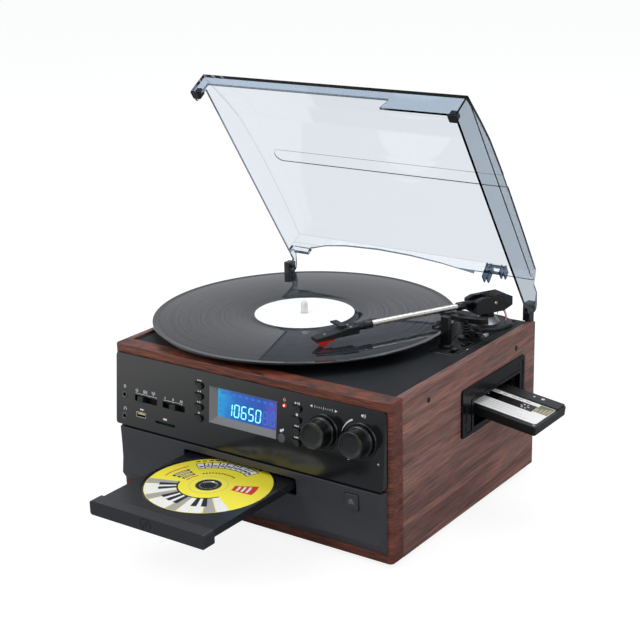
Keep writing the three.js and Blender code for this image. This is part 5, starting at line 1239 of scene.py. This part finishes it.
def add_label_print():
    low, high = 0.05, 0.09
    lines = new()
    for row, (left, right) in enumerate(((-88, -26), (-88, -30), (-88, -22), (-86, -14))):
        y = 23.6 - 4.2 * row
        block(lines, left, right, y, y + 0.35, low, high)
    for left in (-84, -76, -66, -58, -48, -42, -33):
        block(lines, left, left + 5, 44.2, 45.6, low, high)
    add_to_tape("lines", GREY_INK, lines)
    add_to_tape("color_block", OLIVE_INK, blocks((-18.4, -4, 30, 47.4, low, 0.11)))
    places = [(-17.4 + 3.4 * row, 38 + 2 * row) for row in range(4)]
    bars = blocks(*((left, left + 2, 31, top, 0.1, 0.15) for left, top in places))
    disc(bars, -7.4, 33.6, 1.6, 0.1, 0.15)
    add_to_tape("bars", SAND_INK, bars)


def add_tape_details():
    dark, pale = new(), new()
    for x, y, radius in ((-47.6, 57, 1.7), (-66, 57, 1.7), (-84, 57, 1.4)):
        disc(dark, x, y, radius, 1.55, 1.66)
    for x, y, radius in ((-31, 57, 1.2), (-22, 57.5, 1.9)):
        disc(pale, x, y, radius, 1.55, 1.67)
    add_to_tape("dark_holes", BLACK_INK, dark)
    add_to_tape("pale_holes", WHITE_INK, pale)
    heads = [(x, 3.6, 0.0) for x in (-96.6, -3.8)]
    add_screws("cassette_screws", (0, 0, 1), heads, radius=1.3, at=CASSETTE, body="tape")
    ends = blocks(*((-0.3, 0.12, near, near + 18, -5.6, -5.0) for near in (8, 30)))
    add_to_tape("end_lines", BLACK_INK, ends)


# Cover and back

COVER_SHELL = 2.5
COVER_RIM = 153
COVER_RIGHT = 156
COVER_FRONT = -132


def cover_zone(face):
    """Which of the cover's colours a face takes: 0 the plain clear tint, 1 the right side wall, 2 a cut edge
    or the rim's underside, or 3 the front. 1, 2 and 3 are darker colours of the same acrylic, painted shade.
    """
    closed = LID.inverted()
    normal = closed.to_3x3() @ face.normal
    middle = closed @ ((face.calc_center_median() - ORIGIN) / MM)
    longest = max(edge.calc_length() for edge in face.edges) / MM
    width = face.calc_area() / MM**2 / longest
    if width < 1.08 * COVER_SHELL or (normal.z < -0.9 and middle.z < COVER_RIM + 8 * COVER_SHELL):
        return 2
    at_side = middle.x > COVER_RIGHT - 4 * COVER_SHELL and abs(normal.x) > 0.5
    at_front = middle.y < COVER_FRONT + 2 * COVER_SHELL and abs(normal.y) > 0.9
    return 3 if at_front else 1 if at_side else 0


def add_cover():
    clear_and_painted_shades = (COVER, COVER_WALL_SHADE, COVER_EDGE_SHADE, COVER_FRONT_SHADE)
    # The darker colours on the right wall, the front, the cut edges and the rounded edges paint the shade
    # that these show.
    dress("dust_cover", clear_and_painted_shades, 0.3, angle=20, zones=cover_zone, edge_material=2, smooth=False)
    bm = new()
    top, half = 192, 0.8
    for x, foot in ((98, 174), (102.5, 174), (114.5, 181.6), (119, 181.6)):
        low = x + (top - foot) * 0.13
        extrude(bm, [(x - half, top), (x + half, top), (low + half, foot), (low - half, foot)], "Y", 109, 118)
    for low, high in ((189.5, 191.5), (182, 183.4)):
        block(bm, 98, 120, 109.5, 112.4, low, high)
    # The ribs' dark navy colour paints the shade seen in the clear ribs.
    build("cover_ribs", RIBS_SHADE, bm, LID, "cover", edge=0.2)


def add_back():
    pins = ((-120.5, 25), (-114.5, 25), (-117.5, 28.5))
    bm = blocks(*((x - 0.9, x + 0.9, 124.2, 131.5, z - 0.5, z + 0.5) for x, z in pins))
    build("inlet_pins", STEEL, bm)
    for name, x in (("hinge_screws_left", -143.1), ("hinge_screws_right", 149)):
        add_screws(name, (0, 1, 0), [(x, 138, 140), (x, 138, 148)], radius=1.9)


# Everything that keeps its CAD shape, by its material and the width of its rounded edges

ROUNDED = (
    (SATIN, 0.4, ("tonearm_base", "function_switch", "band_switch")),
    (SATIN, 0.5, ("cd_drive", "cassette_deck", "power_supply")),
    (SATIN, 0.6, [f"{side}_button_{row}" for side in ("left", "right") for row in range(1, 5)]),
    (BLACK, 0.3, ("audio_jacks",)),
    (BLACK, 0.4, ("arm_clip", "speed_switch", "auto_stop_switch")),
    (BLACK, 0.5, ("headshell", "arm_rest", "lift_platform")),
    (BLACK, 0.6, ("hinge_left", "hinge_right")),
    (BLACK, 1.0, ("pivot_housing",)),
    (PANEL, 0.5, ("upper_panel",)),
    (CHARCOAL, 0.6, ("eject_button",)),
    (RUBBER, 0.7, ("lid_bumper_left", "lid_bumper_right")),
    (DARK_STEEL, 0, ("lift_spring",)),
    (DARK_STEEL, 0.2, ("lift_lever",)),
    (STEEL, 0.1, ("usb_socket",)),
    (RED, 0.4, ("stylus",)),
    (LED, 0.3, ("power_led",)),
    (BOARD, 0, ("main_board",)),
)


add_camera()
add_surroundings()
add_cabinet()
add_turntable()
add_arm_tube()
add_pivot()
add_headshell()
add_deck_details()
add_panel_marks()
add_sockets()
add_knobs()
add_slot_backing()
add_display()
add_lower_panel()
add_disc()
add_tray()
add_bezel()
add_cassette()
add_label_print()
add_tape_details()
add_cover()
add_back()
for material, edge, nodes in ROUNDED:
    for node in nodes:
        dress(node, material, edge)
